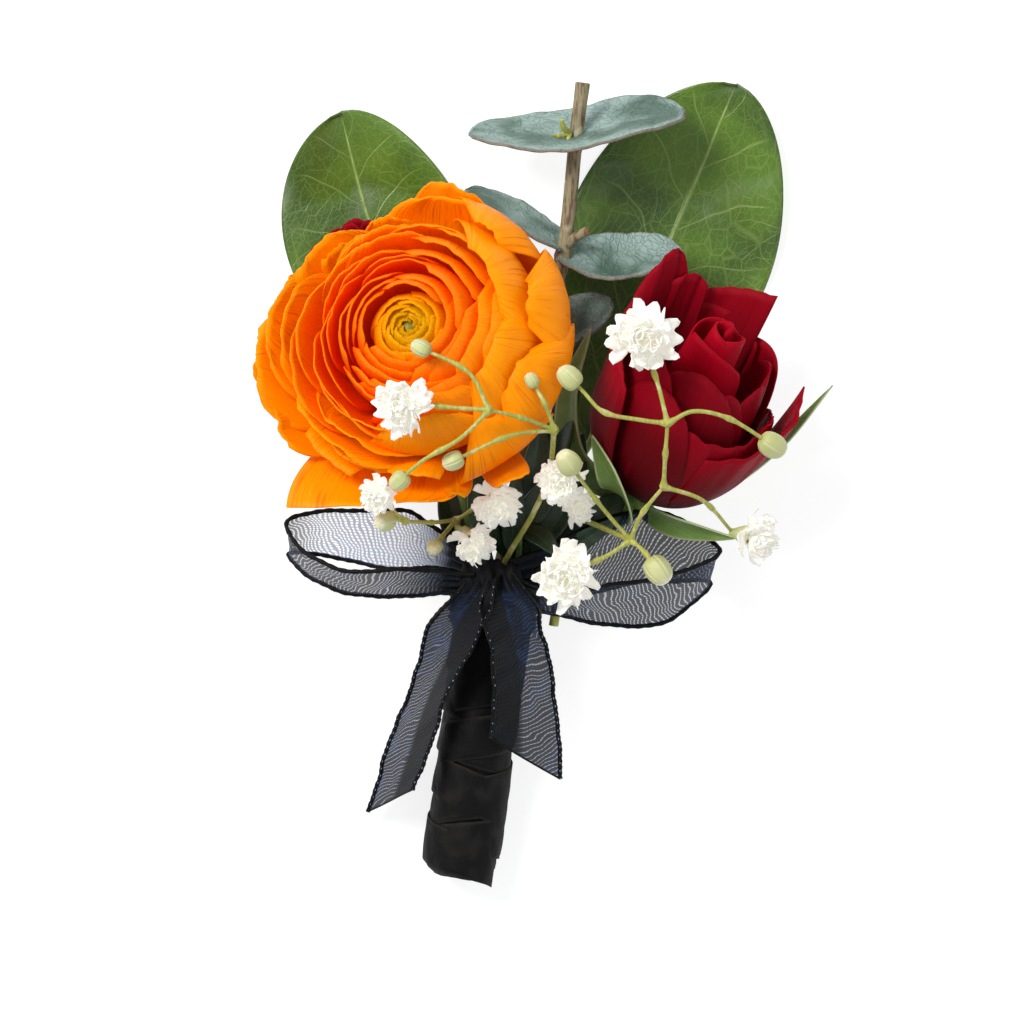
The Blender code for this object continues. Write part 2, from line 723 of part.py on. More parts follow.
def spray(name, slot, trunk, branches, heads, buds):
    """A gypsophila spray: forking stalks with calyces and round buds at their ends."""
    pieces = []
    for i, points in enumerate(branches):
        count = 3 if (Vector(points[-1]) - Vector(points[0])).length < 9 else 4
        stalk = tube(f"{name}_branch_{i}", "spray_green", Path(points), 0.45, points=count, sides=4)
        pieces.append(meshed(stalk))
    forks = {tuple(points[0]) for points in branches}
    for fork in sorted(forks):
        pieces.append(solid_ball("node", "spray_green", fork, (0.8, 0.8, 0.8), 1))
    for key in heads:
        top = HEADS[key].underside()
        profile = [(0, top), (0.9, top), (0.5, top - 1.7), (0, top - 1.7)]
        cup = turned("calyx", "spray_green", profile, steps=6)
        pieces.append(place(meshed(cup), HEADS[key].frame()))
    for centre, radius in buds:
        outline = ((0, 1.1), (0.7, 0.75), (1.0, 0.0), (0.65, -0.75), (0, -1.0))
        bud = turned("bud", "spray_green", [(r * radius, h * radius) for r, h in outline], steps=6)
        pieces.append(place(meshed(bud), Matrix.Translation(centre)))
    stem = meshed(tube(name, "spray_green", stem_path(slot, *trunk), 0.52, points=11, sides=6))
    boolean(stem, "UNION", pieces, "MANIFOLD")


def gypsophila():
    """Three sprays and their flowers."""
    fork, knee = (0.9, 8.6, 42.0), (-9.3, 11.6, 49.0)
    low_knee = (0.0, 1.0, 29.0)
    spray(
        "gypsophila_spray_left",
        "left_spray",
        [(-6.2, -11.0, 18.0), (-2.6, -5.0, 24.5), low_knee, fork],
        [
            [fork, (-4.2, 10.4, 46.6), knee],
            [knee, (-12.5, 17.4, 49.6), (-20.0, 21.3, 48.6)],
            [knee, (-17.3, 12.2, 48.6), HEADS["front"].calyx()],
            [knee, (-13.8, 7.2, 49.4), (-19.7, 3.7, 48.8), (-23.4, 0.5, 47.4)],
            [fork, (-6.1, 7.6, 46.6), (-15.0, 3.7, 46.8)],
            [fork, (-0.6, 12.6, 44.0), (-2.7, 16.3, 44.6)],
            [low_knee, (-0.4, 2.0, 31.0), HEADS["middle"].calyx()],
        ],
        ["front", "middle"],
        [
            ((-20.0, 21.3, 48.8), 1.4),
            ((-23.4, 0.5, 47.2), 1.5),
            ((-15.0, 3.7, 46.8), 1.5),
            ((-2.7, 16.3, 44.8), 1.1),
        ],
    )
    base, rise, cross = (13.1, -8.8, 31.0), (18.2, -0.3, 37.0), (18.7, 9.6, 42.4)
    bough = (5.0, -5.4, 17.8)
    spray(
        "gypsophila_spray_right",
        "right_spray",
        [(-1.0, -10.6, 8.8), (2.6, -5.8, 11.6), bough, base],
        [
            [bough, (4.6, -4.6, 19.2), HEADS["deep"].calyx()],
            [base, (15.0, -10.4, 33.0), (17.4, -13.6, 34.0)],
            [base, (9.1, -11.4, 31.6), HEADS["over_loop"].calyx()],
            [base, (10.2, -5.6, 33.4), (6.9, -1.6, 37.6), (3.1, 3.5, 41.2)],
            [base, (14.7, -4.8, 34.4), rise],
            [rise, (18.4, 4.8, 40.4), cross],
            [rise, (24.3, -2.4, 35.0), HEADS["outer"].calyx()],
            [cross, (17.1, 16.0, 42.0), HEADS["over_rose"].calyx()],
            [cross, (22.7, 11.5, 42.8), (28.3, 10.4, 42.0), (35.4, 6.2, 39.0)],
            [cross, (14.7, 10.1, 43.0), (8.6, 11.4, 43.6), (5.4, 14.6, 43.6), (3.2, 16.8, 43.8)],
        ],
        ["deep", "over_loop", "outer", "over_rose"],
        [
            ((17.4, -13.6, 34.2), 2.1),
            ((3.1, 3.5, 41.6), 1.9),
            ((35.4, 6.2, 39.0), 2.0),
            ((3.2, 16.8, 44.0), 1.8),
        ],
    )
    split, bend = (-14.8, -5.6, 17.0), (-22.6, -5.8, 35.0)
    spray(
        "gypsophila_spray_low",
        "low_spray",
        [(-13.8, -11.0, 12.2), split],
        [
            [split, (-14.4, -6.8, 19.6), HEADS["low"].calyx()],
            [split, (-12.8, -4.4, 21.0), HEADS["under_petal"].calyx()],
            [split, (-18.6, -6.0, 27.0), bend],
            [bend, (-24.6, -4.0, 38.4), HEADS["left"].calyx()],
            [bend, (-24.4, -5.4, 37.6), (-25.8, -5.8, 39.8)],
            [split, (-17.2, -8.6, 20.4), (-18.2, -10.0, 24.0)],
        ],
        ["low", "under_petal", "left"],
        [((-25.8, -5.8, 40.4), 1.6), ((-18.2, -10.0, 24.6), 1.3)],
    )
    for seed, (key, head) in enumerate(HEADS.items()):
        gypsophila_head(key, head, seed)


def lump(grow):
    """The knot's gathered body as a bmesh: a rounded form with pleats across it."""
    bm = bmesh.new()
    bmesh.ops.create_uvsphere(bm, u_segments=12, v_segments=8, radius=1.0)
    for vertex in bm.verts:
        pleat = 1.0 + 0.06 * math.cos(9 * vertex.co.x) - 0.12 * abs(vertex.co.x) ** 3
        vertex.co.x *= KNOT_RADII.x + grow
        vertex.co.y *= KNOT_RADII.y * pleat + grow
        vertex.co.z *= KNOT_RADII.z * pleat + grow
    bmesh.ops.translate(bm, vec=KNOT_CENTRE, verts=bm.verts)
    return bm


def ribbon():
    """The ribbon: a band round the neck, the knot, two loops and two tails."""
    from_bmesh("ribbon_knot", lump(0.0), "ribbon")
    top = HANDLE_LENGTH + 1.5
    foot = top - BAND_WIDTH
    waist = (top + foot) / 2
    profile = [
        (BAND_INNER, top),
        (BAND_OUTER - 0.2, top),
        (BAND_OUTER, blend(top, waist, 0.6)),
        (BAND_OUTER - 0.25, waist),
        (BAND_OUTER, blend(foot, waist, 0.6)),
        (BAND_OUTER - 0.2, foot),
        (BAND_INNER, foot),
    ]
    band = turned("ribbon_band", "ribbon", profile, steps=18, ring=True)
    place(band, HANDLE_FRAME)
    strips = {
        "ribbon_loop_left": Strip(
            Path([
                (-12.0, -15.6, 21.0),
                (-20.0, -16.9, 19.6),
                (-30.6, -16.2, 18.4),
                (-38.6, -13.9, 16.6),
                (-42.0, -10.4, 13.4),
                (-39.6, -7.6, 10.4),
                (-31.0, -7.4, 9.4),
                (-21.0, -9.6, 12.2),
                (-12.0, -13.8, 18.8),
            ]),
            Path([(0.1, 0.9, 0.3), (0.0, 0.55, 0.83), (0.0, 0.55, 0.83), (0.0, 0.6, 0.8), (0.0, 0.8, 0.5)]),
        ),
        "ribbon_loop_right": Strip(
            Path([
                (-6.4, -16.2, 20.8),
                (5.0, -19.6, 18.8),
                (15.0, -20.4, 17.4),
                (23.6, -18.8, 15.4),
                (27.6, -15.2, 12.8),
                (25.4, -12.0, 9.8),
                (17.0, -11.0, 8.6),
                (7.4, -12.2, 12.6),
                (-6.2, -14.2, 18.8),
            ]),
            Path([
                (0.1, 0.9, 0.3),
                (0.15, 0.55, 0.82),
                (0.2, 0.55, 0.82),
                (0.05, 0.75, 0.65),
                (0.0, 0.85, 0.5),
            ]),
        ),
        "ribbon_tail_left": Strip(
            Path([
                (-10.4, -18.2, 18.2),
                (-12.4, -21.8, 18.0),
                (-16.0, -28.4, 17.4),
                (-20.0, -37.0, 13.2),
                (-25.0, -50.6, 8.0),
            ]),
            Path([(0.9, 0.1, 0.3), (0.62, 0.16, 0.76), (0.66, 0.2, 0.7)]),
            slant=-0.09,
            **TAIL_SHAPE,
        ),
        "ribbon_tail_right": Strip(
            Path([
                (-8.0, -18.2, 18.0),
                (-7.0, -22.2, 17.6),
                (-5.2, -28.4, 17.4),
                (-4.2, -36.0, 15.0),
                (-3.8, -46.0, 13.0),
            ]),
            Path([(0.95, 0.1, 0.2), (0.93, 0.05, -0.3), (0.95, 0.05, -0.25)]),
            slant=0.12,
            **TAIL_SHAPE,
        ),
    }
    for name, strip in strips.items():
        piece = meshed(strip.build(name))
        clear = from_bmesh("clear", lump(GAP), "ribbon")
        boolean(piece, "DIFFERENCE", [clear], "MANIFOLD")


def main():
    """Builds every piece, then sets the bench on the row's origin."""
    for old in list(bpy.data.objects):
        bpy.data.objects.remove(old)
    group = bpy.data.collections.new("boutonniere")
    bpy.context.scene.collection.children.link(group)
    tape_wrap()
    ranunculus()
    roses()
    salal_leaves()
    eucalyptus()
    dark_leaves()
    gypsophila()
    ribbon()
    bench = bpy.data.objects.new("bench", None)
    group.objects.link(bench)
    for obj in list(group.objects):
        if obj is not bench:
            obj.parent = bench
    bench.location = BENCH_TO_ROW * MM


if __name__ == "__main__":
    main()
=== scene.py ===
"""The looks of a boutonniere that lies on its back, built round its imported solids.

Sizes are in millimetres on the florist's bench: the bound handle points along -Y, the
blooms look up along +Z and the bunch rests on z = 0. The function on_row carries bench
points to the row frame, in metres.
"""

from __future__ import annotations

import logging
import math
import random
from collections.abc import Callable, Iterable, Sequence
from dataclasses import dataclass, field
from enum import Enum

import bmesh
import bpy
import numpy as np
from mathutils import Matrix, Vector

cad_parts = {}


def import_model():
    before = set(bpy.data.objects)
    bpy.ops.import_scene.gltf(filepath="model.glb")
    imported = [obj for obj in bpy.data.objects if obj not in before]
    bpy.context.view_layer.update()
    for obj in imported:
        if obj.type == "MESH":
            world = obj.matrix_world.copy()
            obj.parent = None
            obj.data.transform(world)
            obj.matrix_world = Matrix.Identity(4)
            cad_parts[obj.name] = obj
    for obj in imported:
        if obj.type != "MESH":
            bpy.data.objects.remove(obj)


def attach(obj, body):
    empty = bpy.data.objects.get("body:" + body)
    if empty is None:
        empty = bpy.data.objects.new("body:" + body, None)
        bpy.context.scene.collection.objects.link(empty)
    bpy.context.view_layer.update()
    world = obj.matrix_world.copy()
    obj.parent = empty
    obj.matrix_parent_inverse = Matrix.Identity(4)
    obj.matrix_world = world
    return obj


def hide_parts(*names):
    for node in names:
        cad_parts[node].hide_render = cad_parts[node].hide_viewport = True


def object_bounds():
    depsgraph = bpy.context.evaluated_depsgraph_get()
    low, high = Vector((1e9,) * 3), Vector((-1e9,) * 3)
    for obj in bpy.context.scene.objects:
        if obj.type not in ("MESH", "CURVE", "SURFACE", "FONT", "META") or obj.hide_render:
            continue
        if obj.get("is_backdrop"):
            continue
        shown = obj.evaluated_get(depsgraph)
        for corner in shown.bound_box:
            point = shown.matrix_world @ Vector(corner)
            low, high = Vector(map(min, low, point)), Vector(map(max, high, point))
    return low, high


LOG = logging.getLogger("boutonniere")

MM = 0.001
BENCH_TO_ROW = np.array((0.0, -0.35, 0.0))
GOLDEN_TURN = 137.508

# The distance under which points are merged, in millimetres.
WELD = 0.01

Point = tuple[float, float, float]
Colour = tuple[float, float, float, float]


def rgb(code: str) -> Colour:
    """The linear colour of a hex code such as FF9500."""
    shares = [int(code[i : i + 2], 16) / 255 for i in (0, 2, 4)]
    linear = [s / 12.92 if s <= 0.04045 else ((s + 0.055) / 1.055) ** 2.4 for s in shares]
    return (*linear, 1.0)


def shades(codes: str) -> list[Colour]:
    """The linear colours of several hex codes with spaces between."""
    return [rgb(code) for code in codes.split()]


def on_row(points: np.ndarray) -> np.ndarray:
    """Bench points in millimetres as row points in metres."""
    return (np.asarray(points, float) + BENCH_TO_ROW) * MM


def unit(vectors: np.ndarray) -> np.ndarray:
    """The vectors scaled to length one."""
    vectors = np.asarray(vectors, float)
    return vectors / np.maximum(np.linalg.norm(vectors, axis=-1, keepdims=True), 1e-9)


def smooth(values: np.ndarray, low: float, high: float) -> np.ndarray:
    """A soft step from 0 at low to 1 at high."""
    t = np.clip((np.asarray(values, float) - low) / (high - low), 0.0, 1.0)
    return t * t * (3 - 2 * t)


def blend(low: tuple, high: tuple, share: float) -> tuple:
    """Numbers, or nested tuples of them, a share of the way from low to high."""
    if isinstance(low, tuple):
        return tuple(blend(a, b, share) for a, b in zip(low, high))
    return low + (high - low) * share


def lattice(rows: int, columns: int, low: float = -1.0, high: float = 1.0) -> Sequence[np.ndarray]:
    """A grid's (u, v): u goes from 0 to 1 by rows, and v from low to high by columns."""
    return np.meshgrid(np.linspace(0, 1, rows), np.linspace(low, high, columns), indexing="ij")


def around(radius: np.ndarray, turn: np.ndarray, height: np.ndarray) -> np.ndarray:
    """Points round Z, by the radius, angle and height of each."""
    return np.stack(np.broadcast_arrays(radius * np.cos(turn), radius * np.sin(turn), height), axis=-1)


def linked(name: str, data: bpy.types.ID) -> bpy.types.Object:
    """A new object in the scene."""
    made = bpy.data.objects.new(name, data)
    bpy.context.scene.collection.objects.link(made)
    return made


def ripple(values: np.ndarray, seed: float) -> np.ndarray:
    """A smooth uneven wave through the values, about -1 to 1."""
    return (
        np.sin(values + seed)
        + 0.6 * np.sin(values * 2.3 + 1.7 * seed + 1.0)
        + 0.4 * np.sin(values * 4.1 + 2.9 * seed)
    ) / 2.0


def operator(name: str, swapped: bool = False) -> Callable:
    """A method of Value that adds the Math node of that name, from right to left if swapped."""

    def method(self: Value, other: Value | float) -> Value:
        """The node's result."""
        return self.nodes.math(name, *((other, self) if swapped else (self, other)))

    return method


class Value:
    """A number over a surface: a node's socket, with arithmetic."""

    def __init__(self, nodes: Nodes, socket: bpy.types.NodeSocket) -> None:
        """Wraps one output socket of the tree that nodes fills."""
        self.nodes = nodes
        self.socket = socket

    __add__ = __radd__ = operator("ADD")
    __sub__, __rsub__ = operator("SUBTRACT"), operator("SUBTRACT", swapped=True)
    __mul__ = __rmul__ = operator("MULTIPLY")
    __truediv__ = operator("DIVIDE")
    __pow__ = operator("POWER")


class Nodes:
    """Adds nodes to one tree, a material's or a geometry's."""

    def __init__(self, tree: bpy.types.NodeTree) -> None:
        """Keeps the tree that the nodes go into."""
        self.tree = tree

    def feed(self, socket: bpy.types.NodeSocket, value: object) -> None:
        """Links a socket or a Value to the input, or sets it to a plain value."""
        if isinstance(value, Value):
            value = value.socket
        if isinstance(value, bpy.types.NodeSocket):
            self.tree.links.new(value, socket)
        else:
            socket.default_value = value

    def add(self, kind: str, settings: dict | None = None, inputs: dict | None = None) -> bpy.types.Node:
        """Adds one node.

        Args:
            kind: the node's type.
            settings: its properties, set first.
            inputs: values or links by the socket's name or number.

        Returns:
            The node.
        """
        node = self.tree.nodes.new(kind)
        for key, value in (settings or {}).items():
            setattr(node, key, value)
        for key, value in (inputs or {}).items():
            self.feed(node.inputs[key], value)
        return node

    def math(self, operation: str, *values: Value | float) -> Value:
        """The result of one Math node."""
        node = self.add("ShaderNodeMath", {"operation": operation}, dict(enumerate(values)))
        return Value(self, node.outputs[0])

    def step(self, value: Value, low: float, high: float) -> Value:
        """A soft step of the value, from 0 at low to 1 at high."""
        settings = {"interpolation_type": "SMOOTHSTEP"}
        node = self.add("ShaderNodeMapRange", settings, {0: value, 1: low, 2: high})
        return Value(self, node.outputs[0])

    def mix(self, share: Value | float, first: object, second: object) -> bpy.types.NodeSocket:
        """The colour a share of the way from first to second."""
        node = self.add("ShaderNodeMix", {"data_type": "RGBA"}, {0: share, 6: first, 7: second})
        return node.outputs[2]

    def vector(self, x: object, y: object, z: object = 0.0) -> bpy.types.NodeSocket:
        """A vector from three numbers."""
        return self.add("ShaderNodeCombineXYZ", {}, {0: x, 1: y, 2: z}).outputs[0]

    def parts(self, vector: bpy.types.NodeSocket) -> tuple[Value, Value, Value]:
        """A vector's three numbers."""
        node = self.add("ShaderNodeSeparateXYZ", {}, {0: vector})
        return tuple(Value(self, socket) for socket in node.outputs)

    def here(self) -> bpy.types.NodeSocket:
        """The place on the object, in metres."""
        return self.add("ShaderNodeTexCoord").outputs["Object"]

    def uv(self) -> tuple[Value, Value]:
        """The piece's own coordinates: across it and along it."""
        node = self.add("ShaderNodeUVMap", {"uv_map": "weft"})
        across, along, _ = self.parts(node.outputs[0])
        return across, along

    def attribute(self, name: str) -> Value:
        """A number that the mesh carries."""
        return Value(self, self.add("ShaderNodeAttribute", {"attribute_name": name}).outputs["Fac"])

    def noise(self, where: object, scale: float, detail: float = 2.0, warp: float = 0.0) -> Value:
        """Soft noise about 0.5, in patches of size 1 / scale."""
        inputs = {"Vector": where, "Scale": scale, "Detail": detail, "Distortion": warp}
        return Value(self, self.add("ShaderNodeTexNoise", {}, inputs).outputs[0])

    def net(self, where: object, scale: float, width: float) -> Value:
        """Lines between cells, as veins or cracks: 1 on the lines, 0 off them."""
        settings = {"feature": "DISTANCE_TO_EDGE"}
        node = self.add("ShaderNodeTexVoronoi", settings, {"Vector": where, "Scale": scale})
        return 1 - self.step(Value(self, node.outputs["Distance"]), 0.0, width)


@dataclass(frozen=True)
class Finish:
    """A surface finish: one Principled material, made once."""

    name: str

    def paint(self, nodes: Nodes) -> dict[str, object]:
        """The Principled sockets' values or links; Height feeds a Bump node."""
        raise NotImplementedError

    def material(self) -> bpy.types.Material:
        """The finish as a material."""
        title = f"{self.name}_finish"
        made = bpy.data.materials.get(title)
        if made is not None:
            return made
        made = bpy.data.materials.new(title)
        made.use_nodes = True
        nodes = Nodes(made.node_tree)
        shader = made.node_tree.nodes["Principled BSDF"]
        sockets = self.paint(nodes)
        height = sockets.pop("Height", None)
        depth = sockets.pop("Depth", 0.0001)
        if height is not None:
            inputs = {"Strength": 1.0, "Distance": depth, "Height": height}
            sockets["Normal"] = nodes.add("ShaderNodeBump", {}, inputs).outputs[0]
        for key, value in sockets.items():
            nodes.feed(shader.inputs[key], value)
        return made


@dataclass(frozen=True)
class PetalFinish(Finish):
    """A thin petal: painted shade at its root, deeper in the heart, fine veins along it, a rim that is partly
    painted highlight, and a faint painted glow.
    """

    # Painted shade: the colour at a petal's root, deep in the bloom.
    root: Colour
    inner: Colour
    outer: Colour
    # At the rim: partly the petal's own paler edge, partly a painted highlight.
    rim: Colour
    vein: Colour
    vein_share: float = 0.25
    rim_tint_and_highlight: float = 0.5
    roughness: float = 0.5
    gloss: float = 0.12
    # Painted glow: how strongly the petal emits its own colour.
    painted_glow: float = 0.08
    relief: float = 0.0002
    glow: float = 0.1

    def paint(self, nodes: Nodes) -> dict[str, object]:
        """Colour from the petal's place in the bloom, with painted shade at its root, a rim that is partly
        painted highlight, and streaks that follow its veins.
        """
        across, along = nodes.uv()
        layer, tone = nodes.attribute("layer"), nodes.attribute("tone")
        streaks = nodes.noise(nodes.vector(across * 55.0, along * 2.2, tone * 9.0), 1.0, 3.0)
        patches = nodes.noise(nodes.here(), 160.0, 2.0)
        body = nodes.mix(nodes.step(layer + (tone - 0.5) * 0.25, 0.4, 1.0), self.inner, self.outer)
        # Painted shade: the root colour fades out along the petal, so that its deep end stays dark.
        depth = nodes.step(along, 0.15, 0.85)
        body = nodes.mix(depth, self.root, body)
        # Painted highlight, together with the petal's own paler edge: the rim colour near its end.
        edge = nodes.step(along + (streaks - 0.5) * 0.2, 0.72, 1.02) * self.rim_tint_and_highlight
        body = nodes.mix(edge, body, self.rim)
        lines = nodes.step(streaks, 0.5, 0.66) * (nodes.step(layer, 0.2, 0.9) * 0.7 + 0.3)
        body = nodes.mix(lines * nodes.step(patches, 0.35, 0.65) * self.vein_share, body, self.vein)
        return {
            "Base Color": body,
            # Painted glow: an emission in the petal's own colour stands in for light through the petals.
            "Emission Color": body,
            "Emission Strength": self.painted_glow,
            "Roughness": 0.9 * self.roughness + patches * 0.2 * self.roughness,
            "Height": streaks + patches * 0.6,
            "Depth": self.relief,
            "Specular IOR Level": self.gloss,
            "Subsurface Weight": self.glow,
            "Subsurface Radius": (1.0, 0.3, 0.1),
            "Subsurface Scale": 0.0012,
        }


@dataclass(frozen=True)
class LeafFinish(Finish):
    """A broad glossy leaf with pale net veins."""

    dark: Colour
    light: Colour
    vein: Colour
    back: Colour
    ribs: float = 6.0
    rim: float = 0.0
    gloss: float = 0.32

    def paint(self, nodes: Nodes) -> dict[str, object]:
        """Side veins that curve up from the midrib, and a net of finer ones between."""
        across, along = nodes.uv()
        side = nodes.math("ABSOLUTE", across * 2.0 - 1.0)
        sway = nodes.noise(nodes.here(), 110.0, 1.0)
        climb = along * self.ribs - side * 1.9 + side * side * 0.9 + (sway - 0.5) * 0.5
        climb = climb + nodes.step(across, 0.49, 0.51) * 0.42
        gap = nodes.math("ABSOLUTE", nodes.math("FRACT", climb) - 0.5)
        ribs = (1 - nodes.step(gap, 0.004, 0.03)) * (1 - nodes.step(side, 0.62, 0.95))
        midrib = 1 - nodes.step(side, 0.008, 0.035)
        warped = nodes.vector(across * 6.5 + sway * 0.8, along * 10.0 + sway * 0.8)
        mesh = nodes.net(warped, 1.3, 0.035) * 0.5
        fine = nodes.net(warped, 4.2, 0.07) * 0.36
        veins = nodes.math(
            "MAXIMUM", nodes.math("MAXIMUM", midrib, ribs * 0.8), nodes.math("MAXIMUM", mesh, fine)
        )
        patches = nodes.noise(nodes.here(), 60.0, 3.0, 0.6)
        blade = nodes.mix(nodes.step(patches, 0.35, 0.7), self.dark, self.light)
        haze = nodes.step(nodes.noise(nodes.here(), 45.0, 2.0, 1.5), 0.52, 0.75)
        blade = nodes.mix(haze * 0.36, blade, self.back)
        blade = nodes.mix(veins * 0.42, blade, self.vein)
        rim = nodes.step(nodes.attribute("edge"), 0.8, 0.95) * self.rim
        return {
            "Base Color": nodes.mix(rim, blade, self.back),
            "Roughness": self.gloss + haze * 0.2 + patches * 0.06,
            "Coat Weight": 0.25,
            "Coat Roughness": 0.25,
            "Height": patches * 0.7 + midrib * 0.9 - (ribs * 0.5 + mesh * 0.4 + fine * 0.4),
            "Depth": 0.00007,
        }


@dataclass(frozen=True)
class WaxyFinish(Finish):
    """A blue-green leaf with a white bloom of wax, fine wrinkles and a brown rim."""

    dark: Colour
    pale: Colour
    groove: Colour
    rim: Colour

    def paint(self, nodes: Nodes) -> dict[str, object]:
        """Swirling grooves in the wax, paler patches, and a thin brown edge."""
        across, along = nodes.uv()
        edge = nodes.attribute("edge")
        sway = nodes.noise(nodes.here(), 160.0, 2.0, 0.8)
        swirl = nodes.vector(across * 5.0 + sway * 2.6, along * 9.0 + sway * 3.4, sway)
        grooves = nodes.net(swirl, 2.1, 0.1)
        fine = nodes.noise(swirl, 7.0, 3.0, 1.2)
        wax = nodes.step(
            nodes.noise(nodes.here(), 90.0, 3.0, 0.5) + nodes.step(edge, 0.5, 0.95) * 0.14, 0.38, 0.64
        )
        blade = nodes.mix(wax, self.dark, self.pale)
        blade = nodes.mix(grooves * 0.26 + nodes.step(fine, 0.54, 0.72) * 0.5, blade, self.groove)
        return {
            "Base Color": nodes.mix(nodes.step(edge, 0.965, 1.0) * 0.7, blade, self.rim),
            "Roughness": 0.5 + wax * 0.15,
            "Specular IOR Level": 0.3,
            "Height": fine * 0.8 - grooves * 0.5,
            "Depth": 0.00018,
        }


@dataclass(frozen=True)
class StalkFinish(Finish):
    """A stem, with streaks along it and spots of a second colour."""

    body: Colour
    streak: Colour
    spot: Colour
    roughness: float = 0.5
    grain: float = 900.0

    def paint(self, nodes: Nodes) -> dict[str, object]:
        """Streaks and spots from noise in the row frame."""
        here = nodes.here()
        x, y, z = nodes.parts(here)
        streaks = nodes.noise(nodes.vector(x * 2.2, y * 0.35, z * 2.2), self.grain, 3.0)
        spots = nodes.noise(here, self.grain * 0.4, 2.0)
        body = nodes.mix(nodes.step(streaks, 0.42, 0.66), self.body, self.streak)
        body = nodes.mix(nodes.step(spots, 0.56, 0.7) * 0.8, body, self.spot)
        return {
            "Base Color": body,
            "Roughness": self.roughness + streaks * 0.15,
            "Height": streaks + spots * 0.5,
            "Depth": 0.00012,
        }


@dataclass(frozen=True)
class RuffleFinish(Finish):
    """Small white petals, greener towards the middle of the head, with a faint painted glow."""

    petal: Colour
    blush: Colour
    middle: Colour
    # Painted glow: the strength of the cream emission.
    glow: float = 0.12

    def paint(self, nodes: Nodes) -> dict[str, object]:
        """White with a trace of blush in patches, green where the petals are young, and a faint painted glow.
        """
        here = nodes.here()
        layer = nodes.attribute("layer")
        along = nodes.attribute("reach")
        patches = nodes.noise(here, 300.0, 2.0)
        body = nodes.mix(nodes.step(patches, 0.55, 0.75) * 0.5, self.petal, self.blush)
        young = nodes.step(layer, 0.7, 1.0) * 0.5 + (1 - nodes.step(along, 0.0, 0.45)) * 0.5
        return {
            "Base Color": nodes.mix(young * 0.45, body, self.middle),
            # Painted glow: a faint cream emission brightens the petals, which are no lamp.
            "Emission Color": (1.0, 0.99, 0.93, 1.0),
            "Emission Strength": self.glow,
            "Roughness": 0.55 + patches * 0.1,
            "Height": nodes.noise(here, 2500.0, 2.0),
            "Depth": 0.00006,
            "Subsurface Weight": 0.4,
            "Subsurface Radius": (1.0, 1.0, 0.85),
            "Subsurface Scale": 0.0014,
        }


@dataclass(frozen=True)
class BudFinish(Finish):
    """A round bud: green sepals with paler gaps and a white tip."""

    sepal: Colour
    gap: Colour
    tip: Colour

    def paint(self, nodes: Nodes) -> dict[str, object]:
        """Five sepals round the bud, from its own coordinates."""
        across, along = nodes.uv()
        lobe = nodes.math("ABSOLUTE", nodes.math("FRACT", across * 5.0) - 0.5) * 2.0
        patches = nodes.noise(nodes.here(), 900.0, 2.0)
        seam = nodes.step(lobe, 0.72, 0.95)
        body = nodes.mix(seam * 0.3 + nodes.step(along, 0.2, 0.8) * 0.4 + patches * 0.2, self.sepal, self.gap)
        return {
            "Base Color": nodes.mix(nodes.step(along, 0.74, 0.94) * 0.85, body, self.tip),
            "Roughness": 0.42 + patches * 0.12,
            "Height": patches - seam,
            "Depth": 0.0001,
            "Subsurface Weight": 0.15,
            "Subsurface Scale": 0.0008,
        }


@dataclass(frozen=True)
class OrganzaFinish(Finish):
    """Sheer black ribbon: winding dark threads over a blue haze, denser where gathered, and painted pale blue
    where thinly drawn, as light through it.
    """

    thread: Colour
    haze: Colour
    # Painted light: the pale colours that the layer behind takes, as if lit through.
    pale: Colour
    painted_lit_thread: Colour
    navy: Colour
    pitch: float = 0.66

    def paint(self, nodes: Nodes) -> dict[str, object]:
        """Threads that drift, so that they wind like the lines of a thumb print."""
        across, along = nodes.uv()
        dense, cover = nodes.attribute("dense"), nodes.attribute("cover")
        drift = nodes.noise(nodes.vector(across * 0.2, along * 0.2), 1.0, 1.0, 0.5)
        other = nodes.noise(nodes.vector(along * 0.24, across * 0.24, 3.7), 1.0, 1.0, 1.0)
        turn = 2 * math.pi / self.pitch
        wound = nodes.math("SINE", along * turn * 0.9 + across * turn * 0.3 + drift * 26.0) * 0.5 + 0.5
        warp = nodes.math("SINE", across * turn + other * 5.0) * 0.5 + 0.5
        lines = nodes.step(wound + cover * cover * 0.7, 0.42, 0.72)
        threads = nodes.math("MAXIMUM", lines, nodes.step(warp, 0.55, 0.9) * 0.75)
        veil = cover * cover * 0.68
        solid = veil + (1 - veil) * threads * (cover * 0.55 + 0.42)
        alpha = solid + dense * (1 - solid)
        # Painted light: where the cover is low, the haze and the threads turn pale blue.
        deep = nodes.step(cover, 0.3, 0.66)
        haze = nodes.mix(nodes.step(other, 0.48, 0.62), self.haze, self.navy)
        haze = nodes.mix(nodes.step(cover, 0.88, 0.96) * 0.85, haze, self.thread)
        haze = nodes.mix(deep, self.pale, haze)
        thread = nodes.mix(nodes.math("MAXIMUM", deep, dense), self.painted_lit_thread, self.thread)
        return {
            "Base Color": nodes.mix(nodes.math("MAXIMUM", threads * 0.9, dense * 0.97), haze, thread),
            "Alpha": nodes.math("MINIMUM", alpha, 1.0),
            "Roughness": 0.5 + threads * 0.2,
            "Specular IOR Level": 0.25,
            "Height": wound + warp * 0.5,
            "Depth": 0.00006,
        }


